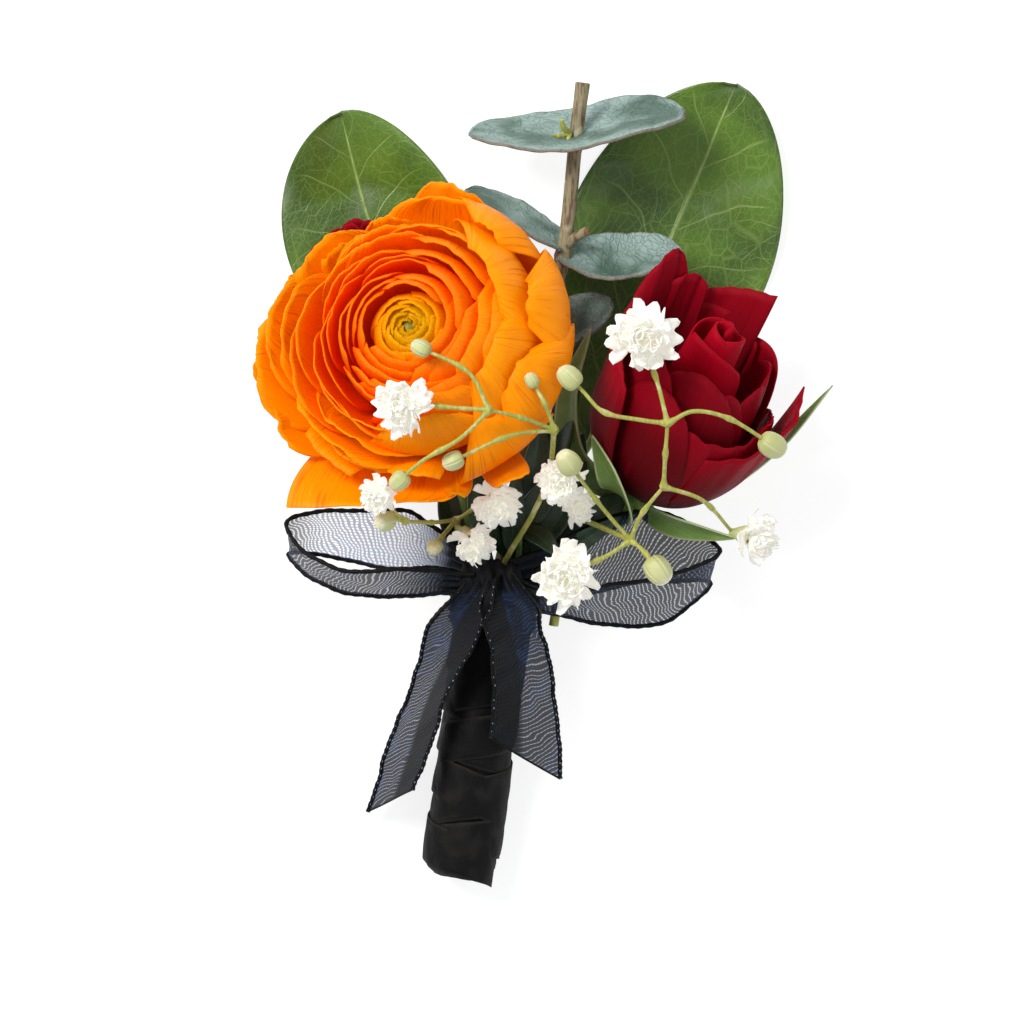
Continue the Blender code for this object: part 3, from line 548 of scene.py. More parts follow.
@dataclass(frozen=True)
class ClothFinish(Finish):
    """A dense dull cloth or tape, with fine creases."""

    body: Colour
    # Dust and wear, and on the tape also a painted highlight along its seams.
    wear_and_highlight: Colour
    roughness: float = 0.7
    grain: float = 700.0
    depth: float = 0.00014
    seam_highlight: float = 0.0

    def paint(self, nodes: Nodes) -> dict[str, object]:
        """Creases from stretched noise, a little dust on the high spots and, on the tape, a painted highlight
        along the edges of its turns.
        """
        here = nodes.here()
        x, y, z = nodes.parts(here)
        creases = nodes.noise(nodes.vector(x * 1.6, y * 0.7, z * 1.6), self.grain, 4.0, 0.6)
        weave = nodes.noise(here, self.grain * 4.0, 2.0)
        patches = nodes.noise(here, self.grain * 0.25, 3.0, 0.4)
        dust_and_seam_highlight = nodes.step(patches, 0.45, 0.72) * 0.6 + nodes.step(weave, 0.62, 0.75) * 0.4
        # Painted highlight: the paler colour along the tape's edges stands in for the light that would show
        # its seams.
        if self.seam_highlight:
            dust_and_seam_highlight = nodes.math("MAXIMUM", dust_and_seam_highlight, nodes.step(nodes.attribute("edge"), 0.5, 1.0) * self.seam_highlight)
        return {
            "Base Color": nodes.mix(dust_and_seam_highlight, self.body, self.wear_and_highlight),
            "Roughness": self.roughness + patches * 0.15,
            "Height": creases + weave * 0.35,
            "Depth": self.depth,
            "Specular IOR Level": 0.18,
        }


@dataclass(frozen=True)
class FloorFinish(Finish):
    """A pale table top that glows a little, as a white sweep under studio light."""

    tint: Colour
    glow: float = 0.5

    def paint(self, nodes: Nodes) -> dict[str, object]:
        """A near-white coat with the faintest mottling."""
        mottle = nodes.noise(nodes.here(), 4.0, 2.0)
        return {
            "Base Color": nodes.mix(mottle * 0.04, self.tint, (0.5, 0.5, 0.5, 1.0)),
            "Roughness": 0.8,
            "Emission Color": (1.0, 1.0, 1.0, 1.0),
            "Emission Strength": self.glow,
        }


class Finishes(Enum):
    """Every finish on the bunch, with its colours in the order of its fields."""

    # Petal finishes: the first colour is painted shade at the root, and the fourth is a rim that is partly
    # painted highlight.
    ORANGE = PetalFinish(
        "orange_petal", *shades("A80C00 FF4200 FF9000 FF9E00 C05400"), vein_share=0.55, roughness=0.45,
    )
    GOLD = PetalFinish("golden_heart_petal", *shades("C06A00 D8A000 FF8A00 F0A800 C07000"), roughness=0.45)
    RED = PetalFinish(
        "rose_petal", *shades("3A000A A00018 64040F B00A24 4C0614"), vein_share=0.2, roughness=0.55,
        gloss=0.06, painted_glow=0.03, relief=0.00008, glow=0.05,
    )
    SALAL = LeafFinish("salal_leaf", *shades("37560D 587C1C A2BC66 9AAC92"))
    SEPAL = LeafFinish("sepal", *shades("5E8230 86A454 B9CC8A C6D0A0"), ribs=4.0, rim=0.8, gloss=0.45)
    DARK_LEAF = LeafFinish("dark_leaf", *shades("16301A 2C4E2C 6E8A60 8FA396"), ribs=5.0, gloss=0.38)
    EUCALYPTUS = WaxyFinish("eucalyptus_leaf", *shades("587468 9CB4AE 3A5248 7E6450"))
    BARK = StalkFinish("eucalyptus_bark", *shades("94896A 66503C BCB89C"), roughness=0.6)
    GREEN_STALK = StalkFinish("green_stalk", *shades("5E8030 7E9A48 4A6624"))
    MIDRIB = StalkFinish("midrib", *shades("9CB466 86A050 B4C480"))
    SPRAY_STALK = StalkFinish("gypsophila_stalk", *shades("A4A848 C0BC68 DAD6A0"), roughness=0.4)
    RUFFLE = RuffleFinish("gypsophila_petal", *shades("FBF9F0 F4E2D6 DDE3B0"))
    BUD = BudFinish("gypsophila_bud", *shades("B8BE78 E0DFB2 F0ECCA"))
    # Its third and fourth colours are painted light on the thinly drawn layer behind.
    ORGANZA = OrganzaFinish("organza", *shades("0C0C0E 243E6C 8CB4F0 4C78B8 3A62A2"))
    SELVEDGE = ClothFinish(
        "ribbon_edge", *shades("050608 16181E"), roughness=0.5, grain=1500.0, depth=0.00008,
    )
    GATHERED = ClothFinish("gathered_ribbon", *shades("07080C 1C2028"), roughness=0.55, grain=1100.0)
    # Painted light: pale beads along the tails' edges, for light seen through holes in them.
    STITCH = ClothFinish(
        "bright_stitch", *shades("8A97B0 B8C2D4"), roughness=0.4, grain=1500.0, depth=0.00004,
    )
    # Its second colour is dust, and along its seams a painted highlight.
    TAPE = ClothFinish("floral_tape", *shades("060606 272523"), roughness=0.62, seam_highlight=1.0)
    OLIVE_EYE = StalkFinish("olive_eye", *shades("7E7814 5A5A0C A89A20"))
    CUT = StalkFinish("cut_wood", *shades("A86A4A 7A3A28 D0B080"), roughness=0.7)

    @property
    def material(self) -> bpy.types.Material:
        """The finish's material."""
        return self.value.material()


@dataclass
class Path:
    """A smooth curve through given points, at u from 0 to 1 by length or in even steps."""

    points: Sequence[Point]
    even: bool = False
    knots: np.ndarray = field(init=False)
    slopes: np.ndarray = field(init=False)

    def __post_init__(self) -> None:
        """Works out the knots and the slopes."""
        self.points = np.array([tuple(p) for p in self.points], float)
        steps = np.linalg.norm(np.diff(self.points, axis=0), axis=1)
        if self.even:
            steps = np.ones_like(steps)
        self.knots = np.concatenate([[0.0], np.cumsum(steps)]) / steps.sum()
        low = np.maximum(np.arange(len(self.points)) - 1, 0)
        high = np.minimum(np.arange(len(self.points)) + 1, len(self.points) - 1)
        spans = (self.knots[high] - self.knots[low])[:, None]
        self.slopes = (self.points[high] - self.points[low]) / spans

    @property
    def length(self) -> float:
        """The curve's length in millimetres."""
        line = self.at(np.linspace(0, 1, 200))
        return float(np.linalg.norm(np.diff(line, axis=0), axis=1).sum())

    def at(self, u: np.ndarray | float) -> np.ndarray:
        """The points at u."""
        u = np.asarray(u, float)
        i = np.clip(np.searchsorted(self.knots, u, side="right") - 1, 0, len(self.knots) - 2)
        span = self.knots[i + 1] - self.knots[i]
        t = ((u - self.knots[i]) / span)[..., None]
        span = span[..., None]
        return (
            self.points[i] * (2 * t**3 - 3 * t**2 + 1)
            + self.slopes[i] * span * (t**3 - 2 * t**2 + t)
            + self.points[i + 1] * (3 * t**2 - 2 * t**3)
            + self.slopes[i + 1] * span * (t**3 - t**2)
        )

    def heading(self, u: np.ndarray | float) -> np.ndarray:
        """The directions at u."""
        u = np.asarray(u, float)
        return unit(self.at(np.minimum(u + 0.01, 1.0)) - self.at(np.maximum(u - 0.01, 0.0)))


@dataclass
class Setting:
    """A frame of the bench: an origin, an axis that is its Z, and a side near its X."""

    origin: Point
    axis: Point
    side: Point = (1.0, 0.0, 0.0)

    def carry(self, points: np.ndarray | Point) -> np.ndarray:
        """Points of this frame as bench points."""
        z = unit(np.array(self.axis))
        x = unit(np.array(self.side) - z * z.dot(np.array(self.side)))
        turn = np.stack([x, np.cross(z, x), z])
        return np.asarray(points, float) @ turn + np.array(self.origin)


class Skin:
    """Gathers curved sheets into the mesh of one piece."""

    def __init__(self) -> None:
        """Starts with nothing."""
        self.points: list[np.ndarray] = []
        self.faces: list[np.ndarray] = []
        self.maps: list[np.ndarray] = []
        self.numbers: dict[str, list[np.ndarray]] = {}
        self.count = 0

    def sheet(self, grid: np.ndarray, uv: np.ndarray | None = None, **numbers: float | np.ndarray) -> Skin:
        """Adds one sheet.

        Args:
            grid: bench points, rows along the sheet by columns across it.
            uv: (across, along) at each point, or None for 0 to 1 each way.
            numbers: values that the mesh carries, one for the sheet or one a point.

        Returns:
            The skin, so that more can follow.
        """
        index = np.arange(grid.shape[0] * grid.shape[1]).reshape(grid.shape[:2]) + self.count
        quads = np.stack([index[:-1, :-1], index[:-1, 1:], index[1:, 1:], index[1:, :-1]], axis=-1)
        if uv is None:
            along, across = lattice(*grid.shape[:2], 0.0)
            uv = np.stack([across, along], axis=-1)
        self.points.append(grid.reshape(-1, 3))
        self.faces.append(quads.reshape(-1, 4))
        self.maps.append(uv.reshape(-1, 2))
        for key, value in numbers.items():
            flat = np.broadcast_to(np.asarray(value, float), grid.shape[:2]).reshape(-1)
            self.numbers.setdefault(key, []).append(flat)
        self.count += index.size
        return self

    def made(
        self, name: str, finish: Finishes, thickness: float = 0.0, weld: float = 0.0
    ) -> bpy.types.Object:
        """The sheets as one object.

        Args:
            name: the piece's name.
            finish: its finish.
            thickness: how thick the sheets become, in millimetres, or 0 to leave them.
            weld: the distance under which points are merged first, in millimetres.

        Returns:
            The object, at the origin, with its place in its mesh.
        """
        mesh = bpy.data.meshes.new(name)
        faces = np.concatenate(self.faces)
        mesh.from_pydata(on_row(np.concatenate(self.points)), [], faces.tolist())
        layer = mesh.uv_layers.new(name="weft")
        loops = np.zeros(len(mesh.loops), np.int32)
        mesh.loops.foreach_get("vertex_index", loops)
        layer.data.foreach_set("uv", np.concatenate(self.maps)[loops].astype(np.float32).ravel())
        for key, values in self.numbers.items():
            mesh.attributes.new(key, "FLOAT", "POINT")
            mesh.attributes[key].data.foreach_set("value", np.concatenate(values).astype(np.float32))
        if weld:
            bm = bmesh.new()
            bm.from_mesh(mesh)
            bmesh.ops.remove_doubles(bm, verts=bm.verts, dist=weld * MM)
            bmesh.ops.recalc_face_normals(bm, faces=bm.faces)
            bm.to_mesh(mesh)
            bm.free()
        mesh.shade_smooth()
        mesh.materials.append(finish.material)
        made = linked(name, mesh)
        if thickness:
            shell = made.modifiers.new("thickness", "SOLIDIFY")
            shell.thickness = thickness * MM
            shell.offset = 0.0
            shell.use_even_offset = False
        return made


def ride(piece: bpy.types.Object, slot: str, *nodes: str) -> bpy.types.Object:
    """Lets a piece ride on the bunch's one body, logs the slot it is meant for and hides what it stands for.
    """
    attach(piece, "root")
    if nodes:
        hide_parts(*nodes)
    LOG.info("%s rides on root, slot %s, for %s", piece.name, slot, ", ".join(nodes) or "no node")
    return piece


class Tool:
    """A Geometry Nodes tree with named inputs, run once on an object."""

    def __init__(
        self, name: str, build: Callable[[Nodes, bpy.types.Node], object], inputs: dict[str, str]
    ) -> None:
        """Builds the tree.

        Args:
            name: the tree's name.
            build: adds the nodes and returns the last geometry socket.
            inputs: the kind of socket of each input, by name.
        """
        self.tree = bpy.data.node_groups.new(name, "GeometryNodeTree")
        face = self.tree.interface
        face.new_socket("Geometry", in_out="INPUT", socket_type="NodeSocketGeometry")
        face.new_socket("Geometry", in_out="OUTPUT", socket_type="NodeSocketGeometry")
        for key, kind in {**inputs, "Finish": "Material"}.items():
            face.new_socket(key, in_out="INPUT", socket_type=f"NodeSocket{kind}")
        nodes = Nodes(self.tree)
        start = nodes.add("NodeGroupInput")
        shape = build(nodes, start)
        whole = nodes.add("GeometryNodeRealizeInstances", {}, {0: shape})
        dressed = nodes.add(
            "GeometryNodeSetMaterial", {}, {"Geometry": whole.outputs[0], "Material": start.outputs["Finish"]}
        )
        nodes.add("NodeGroupOutput", {}, {0: dressed.outputs[0]})

    def run(self, piece: bpy.types.Object, finish: Finishes, **values: object) -> bpy.types.Object:
        """Runs the tree on a piece and keeps the result as its plain mesh."""
        step = piece.modifiers.new(self.tree.name, "NODES")
        step.node_group = self.tree
        values["Finish"] = finish.material
        for item in self.tree.interface.items_tree:
            if item.item_type == "SOCKET" and item.in_out == "INPUT" and item.name in values:
                step[item.identifier] = values[item.name]
        graph = bpy.context.evaluated_depsgraph_get()
        mesh = bpy.data.meshes.new_from_object(piece.evaluated_get(graph))
        mesh.name = piece.name
        piece.modifiers.clear()
        piece.data = mesh
        return piece


def tube_tree(nodes: Nodes, start: bpy.types.Node) -> object:
    """A round tube along each run of edges, as thick as the points say."""
    curve = nodes.add("GeometryNodeMeshToCurve", {}, {"Mesh": start.outputs["Geometry"]})
    girth = nodes.add("GeometryNodeInputNamedAttribute", {"data_type": "FLOAT"}, {"Name": "girth"})
    ring = nodes.add(
        "GeometryNodeCurvePrimitiveCircle", {}, {"Resolution": start.outputs["Sides"], "Radius": 1.0}
    )
    inputs = {
        "Curve": curve.outputs[0],
        "Profile Curve": ring.outputs[0],
        "Scale": girth.outputs[0],
        "Fill Caps": True,
    }
    tube = nodes.add("GeometryNodeCurveToMesh", {}, inputs)
    soft = nodes.add("GeometryNodeSetShadeSmooth", {}, {"Geometry": tube.outputs[0], "Shade Smooth": True})
    return soft.outputs[0]


def head_tree(nodes: Nodes, start: bpy.types.Node) -> object:
    """Petals set round a point by the golden turn, flat outside and upright inside."""
    line = nodes.add("GeometryNodeMeshLine", {}, {"Count": start.outputs["Count"]})
    index = Value(nodes, nodes.add("GeometryNodeInputIndex").outputs[0])
    share = index / Value(nodes, start.outputs["Count"])
    seed = start.outputs["Seed"]

    def stray(spread: float, offset: int) -> Value:
        """An uneven number from -spread to spread for each petal."""
        shifted = nodes.math("ADD", Value(nodes, seed), float(offset))
        node = nodes.add(
            "FunctionNodeRandomValue", {"data_type": "FLOAT"}, {2: -spread, 3: spread, 8: shifted}
        )
        return Value(nodes, node.outputs[1])

    rise = (share**0.8) * -1.12 + 0.06 + stray(0.3, 3)
    turn = index * math.radians(GOLDEN_TURN) + stray(0.5, 11)
    facing = nodes.vector(stray(0.75, 23), rise, turn)
    size = (1.0 - 0.4 * share + stray(0.12, 31)) * Value(nodes, start.outputs["Radius"])
    lift = nodes.vector(0.0, 0.0, (share * 0.34 - 0.22) * Value(nodes, start.outputs["Radius"]))
    seats = nodes.add("GeometryNodeSetPosition", {}, {"Geometry": line.outputs[0], "Position": lift})
    petal = nodes.add("GeometryNodeObjectInfo", {}, {"Object": start.outputs["Petal"]})
    inputs = {
        "Points": seats.outputs[0], "Instance": petal.outputs["Geometry"], "Rotation": facing, "Scale": size
    }
    placed = nodes.add("GeometryNodeInstanceOnPoints", {}, inputs)
    settings = {"data_type": "FLOAT", "domain": "INSTANCE"}
    inputs = {"Geometry": placed.outputs[0], "Name": "layer", "Value": share}
    return nodes.add("GeometryNodeStoreNamedAttribute", settings, inputs).outputs[0]


def hole_light_tree(nodes: Nodes, start: bpy.types.Node) -> object:
    """Small pale beads at even steps along each run of edges: painted light, for light seen through holes
    along the edge.
    """
    curve = nodes.add("GeometryNodeMeshToCurve", {}, {"Mesh": start.outputs["Geometry"]})
    inputs = {"Curve": curve.outputs[0], "Length": start.outputs["Step"]}
    spaced = nodes.add("GeometryNodeCurveToPoints", {"mode": "LENGTH"}, inputs)
    bead = nodes.add("GeometryNodeMeshIcoSphere", {}, {"Radius": start.outputs["Size"], "Subdivisions": 2})
    shape = nodes.add("GeometryNodeTransform", {}, {"Geometry": bead.outputs[0], "Scale": (0.55, 0.55, 1.5)})
    inputs = {
        "Points": spaced.outputs["Points"],
        "Instance": shape.outputs[0],
        "Rotation": spaced.outputs["Rotation"],
    }
    placed = nodes.add("GeometryNodeInstanceOnPoints", {}, inputs)
    return nodes.add(
        "GeometryNodeSetShadeSmooth", {}, {"Geometry": placed.outputs[0], "Shade Smooth": True}
    ).outputs[0]


class Tools:
    """The Geometry Nodes trees that the bunch is made with."""

    def __init__(self) -> None:
        """Builds each tree once."""
        self.tube = Tool("tube", tube_tree, {"Sides": "Int"})
        self.head = Tool(
            "ruffled_head", head_tree,
            {"Petal": "Object", "Count": "Int", "Radius": "Float", "Seed": "Int"},
        )
        self.stitch = Tool("stitches", hole_light_tree, {"Step": "Float", "Size": "Float"})


class Stalks:
    """Round stems of one piece, each along a path with its own girth."""

    def __init__(self) -> None:
        """Starts with nothing."""
        self.points: list[np.ndarray] = []
        self.girths: list[np.ndarray] = []
        self.edges: list[tuple[int, int]] = []
        self.count = 0

    def add(
        self, path: Path, foot: float, tip: float, steps: int = 40,
        knots: Iterable[tuple[float, float]] = (),
    ) -> Stalks:
        """Adds one stem.

        Args:
            path: its centre line.
            foot: its radius at the start, in millimetres.
            tip: its radius at the end.
            steps: how many pieces it is cut into.
            knots: (u, extra radius) of each swelling.

        Returns:
            The stems, so that more can follow.
        """
        u = np.linspace(0.0, 1.0, steps + 1)
        girth = foot + (tip - foot) * u
        long = path.length
        for place, extra in knots:
            girth = girth + extra * np.exp(-(((u - place) * long / 0.9) ** 2))
        return self.line(path.at(u), girth)

    def line(
        self, points: np.ndarray | Sequence[Point], girth: np.ndarray | Sequence[float] | float
    ) -> Stalks:
        """Adds a run of points with the radius at each."""
        self.points.append(np.asarray(points, float))
        self.girths.append(np.broadcast_to(np.asarray(girth, float), (len(points),)))
        self.edges += [(self.count + i, self.count + i + 1) for i in range(len(points) - 1)]
        self.count += len(points)
        return self

    def runs(self, name: str) -> bpy.types.Object:
        """The bare lines as an object."""
        mesh = bpy.data.meshes.new(name)
        mesh.from_pydata(on_row(np.concatenate(self.points)), self.edges, [])
        girths = mesh.attributes.new("girth", "FLOAT", "POINT")
        girths.data.foreach_set("value", (np.concatenate(self.girths) * MM).astype(np.float32))
        return linked(name, mesh)

    def made(self, name: str, tools: Tools, finish: Finishes, sides: int = 12) -> bpy.types.Object:
        """The stems as one object."""
        return tools.tube.run(self.runs(name), finish, Sides=sides)


def joined(name: str, pieces: Sequence[bpy.types.Object]) -> bpy.types.Object:
    """Several objects as one, with every modifier applied and their materials kept."""
    graph = bpy.context.evaluated_depsgraph_get()
    slots: list[bpy.types.Material] = []
    bm = bmesh.new()
    for piece in pieces:
        mesh = bpy.data.meshes.new_from_object(piece.evaluated_get(graph))
        own = list(mesh.materials)
        slots += [m for m in own if m not in slots]
        places = [slots.index(m) for m in own]
        before = len(bm.faces)
        bm.from_mesh(mesh)
        bm.faces.ensure_lookup_table()
        for face in bm.faces[before:]:
            face.material_index = places[min(face.material_index, len(places) - 1)]
        bpy.data.objects.remove(piece)
        bpy.data.meshes.remove(mesh)
    mesh = bpy.data.meshes.new(name)
    bm.to_mesh(mesh)
    bm.free()
    for material in slots:
        mesh.materials.append(material)
    mesh.shade_smooth()
    return linked(name, mesh)


@dataclass
class Petal:
    """One petal, on a surface turned round its bloom's axis.

    The meridian is the (radius, height) of four control points, from root to rim.
    """

    azimuth: float
    spread: float
    meridian: tuple
    twist: float = 0.5
    cup: float = 0.0
    droop: float = 1.2
    point: float = 0.0
    tip: float = 0.3
    skew: float = 0.0
    lean: float = 0.0
    corner: float = 0.0
    ruffle: float = 0.0
    waves: float = 2.0
    roll: float = 0.0
    seed: float = 0.0
    rows: int = 18
    columns: int = 16

    def grid(self) -> np.ndarray:
        """The petal's points in its bloom's frame."""
        u, v = lattice(self.rows + 1, self.columns + 1)
        shoulder = np.clip((u - 0.5) / 0.5, 0, 1)
        narrow = np.sqrt(1 - (1 - self.tip**2) * shoulder**2) * (1 - self.point * shoulder)
        weights = ((1 - u) ** 3, 3 * u * (1 - u) ** 2, 3 * u * u * (1 - u), u**3)
        radius = sum(w * c[0] for w, c in zip(weights, self.meridian))
        height = sum(w * c[1] for w, c in zip(weights, self.meridian))
        radius = radius + (self.twist * v - self.cup * v * v) * u
        radius = radius + (self.skew * v + self.corner * v * v) * u**3
        height = height - self.droop * v * v * u * u + self.lean * v * u * u
        wave = self.ruffle * u**3
        radius = radius + wave * ripple(self.waves * math.pi * v, self.seed)
        height = height + 0.7 * wave * ripple(self.waves * math.pi * v, self.seed + 2.0)
        curl = np.clip((u - 0.8) / 0.2, 0, 1)
        radius = radius + self.roll * curl**1.5
        height = height - 0.7 * abs(self.roll) * curl**2.5
        turn = np.radians(self.azimuth + self.spread * v * narrow * np.minimum(1.0, 0.5 + u))
        return around(radius, turn, height)


def turned(profile: Sequence[tuple[float, float]], sides: int = 32, steps: int = 6) -> np.ndarray:
    """A grid turned round Z from a smoothed (radius, height) profile."""
    path = Path([(r, 0.0, h) for r, h in profile]).at(np.linspace(0, 1, steps * (len(profile) - 1) + 1))
    turn = np.linspace(0, 2 * math.pi, sides + 1)
    return around(path[:, :1], turn, path[:, 2:])


# The cupped petals of the skirt: azimuth, spread, belly, reach and height of the rim.
CUPPED_PETALS = (
    (10, 26, 33.0, 18.8, 18.6), (52, 24, 31.2, 19.6, 17.2), (335, 30, 33.0, 18.2, 18.0),
    (308, 22, 32.4, 18.4, 15.0),
)

# Its open petals: azimuth, reach, height of the rim, spread, and what else differs.
OPEN_PETALS = (
    (76, 25.8, 10.8, 22, {}), (104, 21.2, 10.0, 20, {}), (130, 20.6, 10.0, 19, {}),
    (156, 23.8, 9.8, 19, {}), (183, 26.2, 9.4, 19, {}), (210, 25.8, 9.0, 19, {}),
    (255, 27.1, 8.0, 34, {"tip": 0.7, "skew": -4.0, "corner": 3.1, "droop": -0.3, "ruffle": 0.2}),
    (230, 21.8, 9.4, 18, {"tip": 0.7, "roll": 1.8, "ruffle": 0.3}),
    (268, 20.4, 10.6, 18, {"tip": 0.6, "roll": 1.8, "ruffle": 0.3}),
    (284, 26.2, 9.0, 8, {"point": 0.2, "tip": 0.4, "ruffle": 0.2}),
    (303, 28.4, 10.4, 9, {"tip": 0.6, "ruffle": 0.2}),
)


@dataclass
class Ranunculus:
    """The orange bloom: thin petals in rings round a golden heart, on its stem."""

    setting: Setting = field(default_factory=lambda: Setting((-19.4, 20.4, 24.0), (-0.15, 0.26, 0.954)))
    rings: tuple[int, ...] = (4, 4, 4, 5, 5, 5, 5, 6, 6, 6, 6, 7)
    thickness: float = 0.24
    open_inner: tuple = ((2.5, 1.5), (8.5, 3.0), (9.6, 14.0), (6.9, 20.8))
    open_outer: tuple = ((6.0, 1.5), (15.0, -0.4), (23.0, 3.5), (25.2, 11.8))
    cup_inner: tuple = ((2.5, 1.5), (8.5, 3.0), (9.8, 15.0), (6.2, 21.8))
    cup_outer: tuple = ((6.0, 1.5), (16.0, -1.0), (27.0, 8.0), (15.2, 20.4))

    @staticmethod
    def cupped(azimuth: float) -> float:
        """How far petals cup inwards there: most at the lower right."""
        return float(smooth(0.5 + 0.5 * math.cos(math.radians(azimuth - 345)), 0.35, 0.9))

    @staticmethod
    def fullness(azimuth: float) -> float:
        """How far the rings reach there, as a share: less behind and at the lower left."""
        hollow = 0.0
        for middle, width, depth in ((116, 34, 0.21), (255, 32, 0.22)):
            off = (azimuth - middle + 180) % 360 - 180
            hollow += depth * math.exp(-((off / width) ** 2))
        return 1.0 - hollow

    def ring_petals(self) -> list[tuple[Petal, float]]:
        """The petals of the rings, each with its place from heart to outside."""
        draw = random.Random(11)
        petals = []
        for ring, count in enumerate(self.rings):
            share = ring / (len(self.rings) - 1)
            start = draw.uniform(0, 360)
            for i in range(count):
                azimuth = start + 360 * i / count + draw.uniform(-7, 7)
                cup = self.cupped(azimuth)
                if cup > 0.55 and ring % 2 == 0:
                    continue
                open_one = blend(self.open_inner, self.open_outer, share**1.1)
                cup_one = blend(self.cup_inner, self.cup_outer, share**1.1)
                root, low, high, rim = blend(open_one, cup_one, cup)
                full = 1.0 - share * (1.0 - self.fullness(azimuth))
                high = (high[0] * full, high[1])
                rim = (rim[0] * full + draw.uniform(-0.5, 0.5), rim[1] + draw.uniform(-0.8, 0.6))
                petal = Petal(
                    azimuth, (1.22 + 0.55 * cup) * 180 / count * draw.uniform(0.92, 1.08),
                    (root, low, high, rim), twist=0.42, droop=1.1 + 1.2 * share, tip=0.66 - 0.16 * share,
                    ruffle=(0.16 + 0.4 * share) * (1 - 0.4 * cup), waves=draw.uniform(0.7, 1.4),
                    roll=-0.5 + 1.1 * share * (1 - cup), seed=draw.uniform(0, 9),
                )
                petals.append((petal, share))
        return petals

    def skirt_petals(self) -> list[tuple[Petal, float]]:
        """The large outermost petals, placed one by one: first cupped ones, then open ones."""
        skirt = []
        for i, (azimuth, spread, belly, reach, height) in enumerate(CUPPED_PETALS):
            meridian = ((7.0, 1.0), (19.0, -1.2), (belly, 8.5), (reach, height))
            petal = Petal(azimuth, spread * 1.06, meridian, twist=0.6, droop=3.0, tip=0.42, seed=i * 2.1)
            petal.ruffle, petal.waves, petal.rows, petal.columns, petal.roll = 0.45, 1.3, 26, 24, 0.5
            skirt.append((petal, 1.0))
        for i, (azimuth, reach, height, spread, extra) in enumerate(OPEN_PETALS):
            meridian = ((7.0, 1.0), (14.5, -1.4 - 0.2 * (i % 3)), (reach * 0.86, 1.2), (reach, height))
            shape = {
                "droop": 1.0, "ruffle": 0.5, "waves": 1.1, "tip": 0.42, "rows": 22, "columns": 20, **extra
            }
            skirt.append((Petal(azimuth, spread, meridian, seed=i * 1.3, **shape), 1.0))
        return skirt

    def heart_petals(self) -> list[tuple[Petal, float]]:
        """The golden petals that close over the green middle."""
        draw = random.Random(5)
        petals = []
        rings = ((4, 1.3, 18.3, 0.0), (4, 2.4, 18.7, 0.2), (4, 3.6, 18.7, 0.6), (4, 4.9, 18.1, 1.0))
        for count, reach, height, share in rings:
            start = draw.uniform(0, 360)
            for i in range(count):
                belly = reach + 1.9
                meridian = ((1.2, 5.5), (belly, 7.0), (belly + 0.6, height - 3.4), (reach, height))
                azimuth = start + 360 * i / count
                petal = Petal(azimuth, 1.5 * 180 / count, meridian, twist=0.4, droop=0.7, tip=0.85)
                petal.ruffle, petal.seed, petal.roll = 0.15, draw.uniform(0, 9), -0.3
                petals.append((petal, share))
        return petals

    def bloom(self, name: str, petals: list[tuple[Petal, float]], finish: Finishes) -> bpy.types.Object:
        """Petals as one object."""
        skin, draw = Skin(), random.Random(3)
        for petal, share in petals:
            skin.sheet(self.setting.carry(petal.grid()), layer=share, tone=draw.random())
        return skin.made(name, finish, self.thickness)

    def build(self, tools: Tools, stems: Stems) -> None:
        """Builds the bloom, its heart and its stem with the calyx."""
        petals = self.ring_petals() + self.skirt_petals()
        ride(self.bloom("ranunculus_bloom", petals, Finishes.ORANGE), "orange_petal", "ranunculus_petals")
        heart = self.bloom("ranunculus_golden_heart", self.heart_petals(), Finishes.GOLD)
        ride(heart, "yellow_petal", "ranunculus_heart")
        dome = turned([(1.5, 13.5), (1.45, 16.0), (1.0, 17.3), (0.0, 17.7)], 24)
        eye = Skin().sheet(self.setting.carry(dome), layer=0.0, tone=0.5)
        ride(eye.made("ranunculus_eye", Finishes.OLIVE_EYE, weld=WELD), "stem_green")
        swell = turned([(5.2, 9.0), (5.0, 14.0), (3.6, 16.9), (2.0, 17.5), (1.4, 17.4)], 32)
        mound = Skin().sheet(self.setting.carry(swell), layer=0.6, tone=0.4)
        ride(mound.made("ranunculus_mound", Finishes.GOLD), "yellow_petal")
        cup = turned([(0.0, -0.6), (7.0, -0.2), (11.0, 2.0), (10.6, 4.6), (5.0, 5.4), (0.0, 5.6)], 48)
        base = Skin().sheet(self.setting.carry(cup), layer=0.6, tone=0.5)
        ride(base.made("ranunculus_base", Finishes.ORANGE, weld=WELD), "orange_petal")
        seat = self.setting.carry((0, 0, -1.2))
        below = self.setting.carry((0, 0, -4.0))
        path = stems.path("ranunculus", (-11.4, -8.0, 13.6), (-14.6, 4.0, 16.4), below, seat)
        stalks = Stalks().add(path, 1.5, 1.5)
        calyx = Skin()
        for i in range(5):
            meridian = ((1.0, -1.9), (3.4, -2.3), (5.0, -3.2), (8.4, -2.9))
            petal = Petal(72 * i, 24, meridian, point=0.4, rows=10, columns=8, ruffle=0.3, seed=i)
            calyx.sheet(self.setting.carry(petal.grid()), layer=0.5, tone=0.5)
        pieces = [
            stalks.made("ranunculus_stalk", tools, Finishes.GREEN_STALK),
            calyx.made("calyx", Finishes.SEPAL, 0.3),
        ]
        ride(joined("ranunculus_stalk_and_calyx", pieces), "stem_green", "ranunculus_stem")


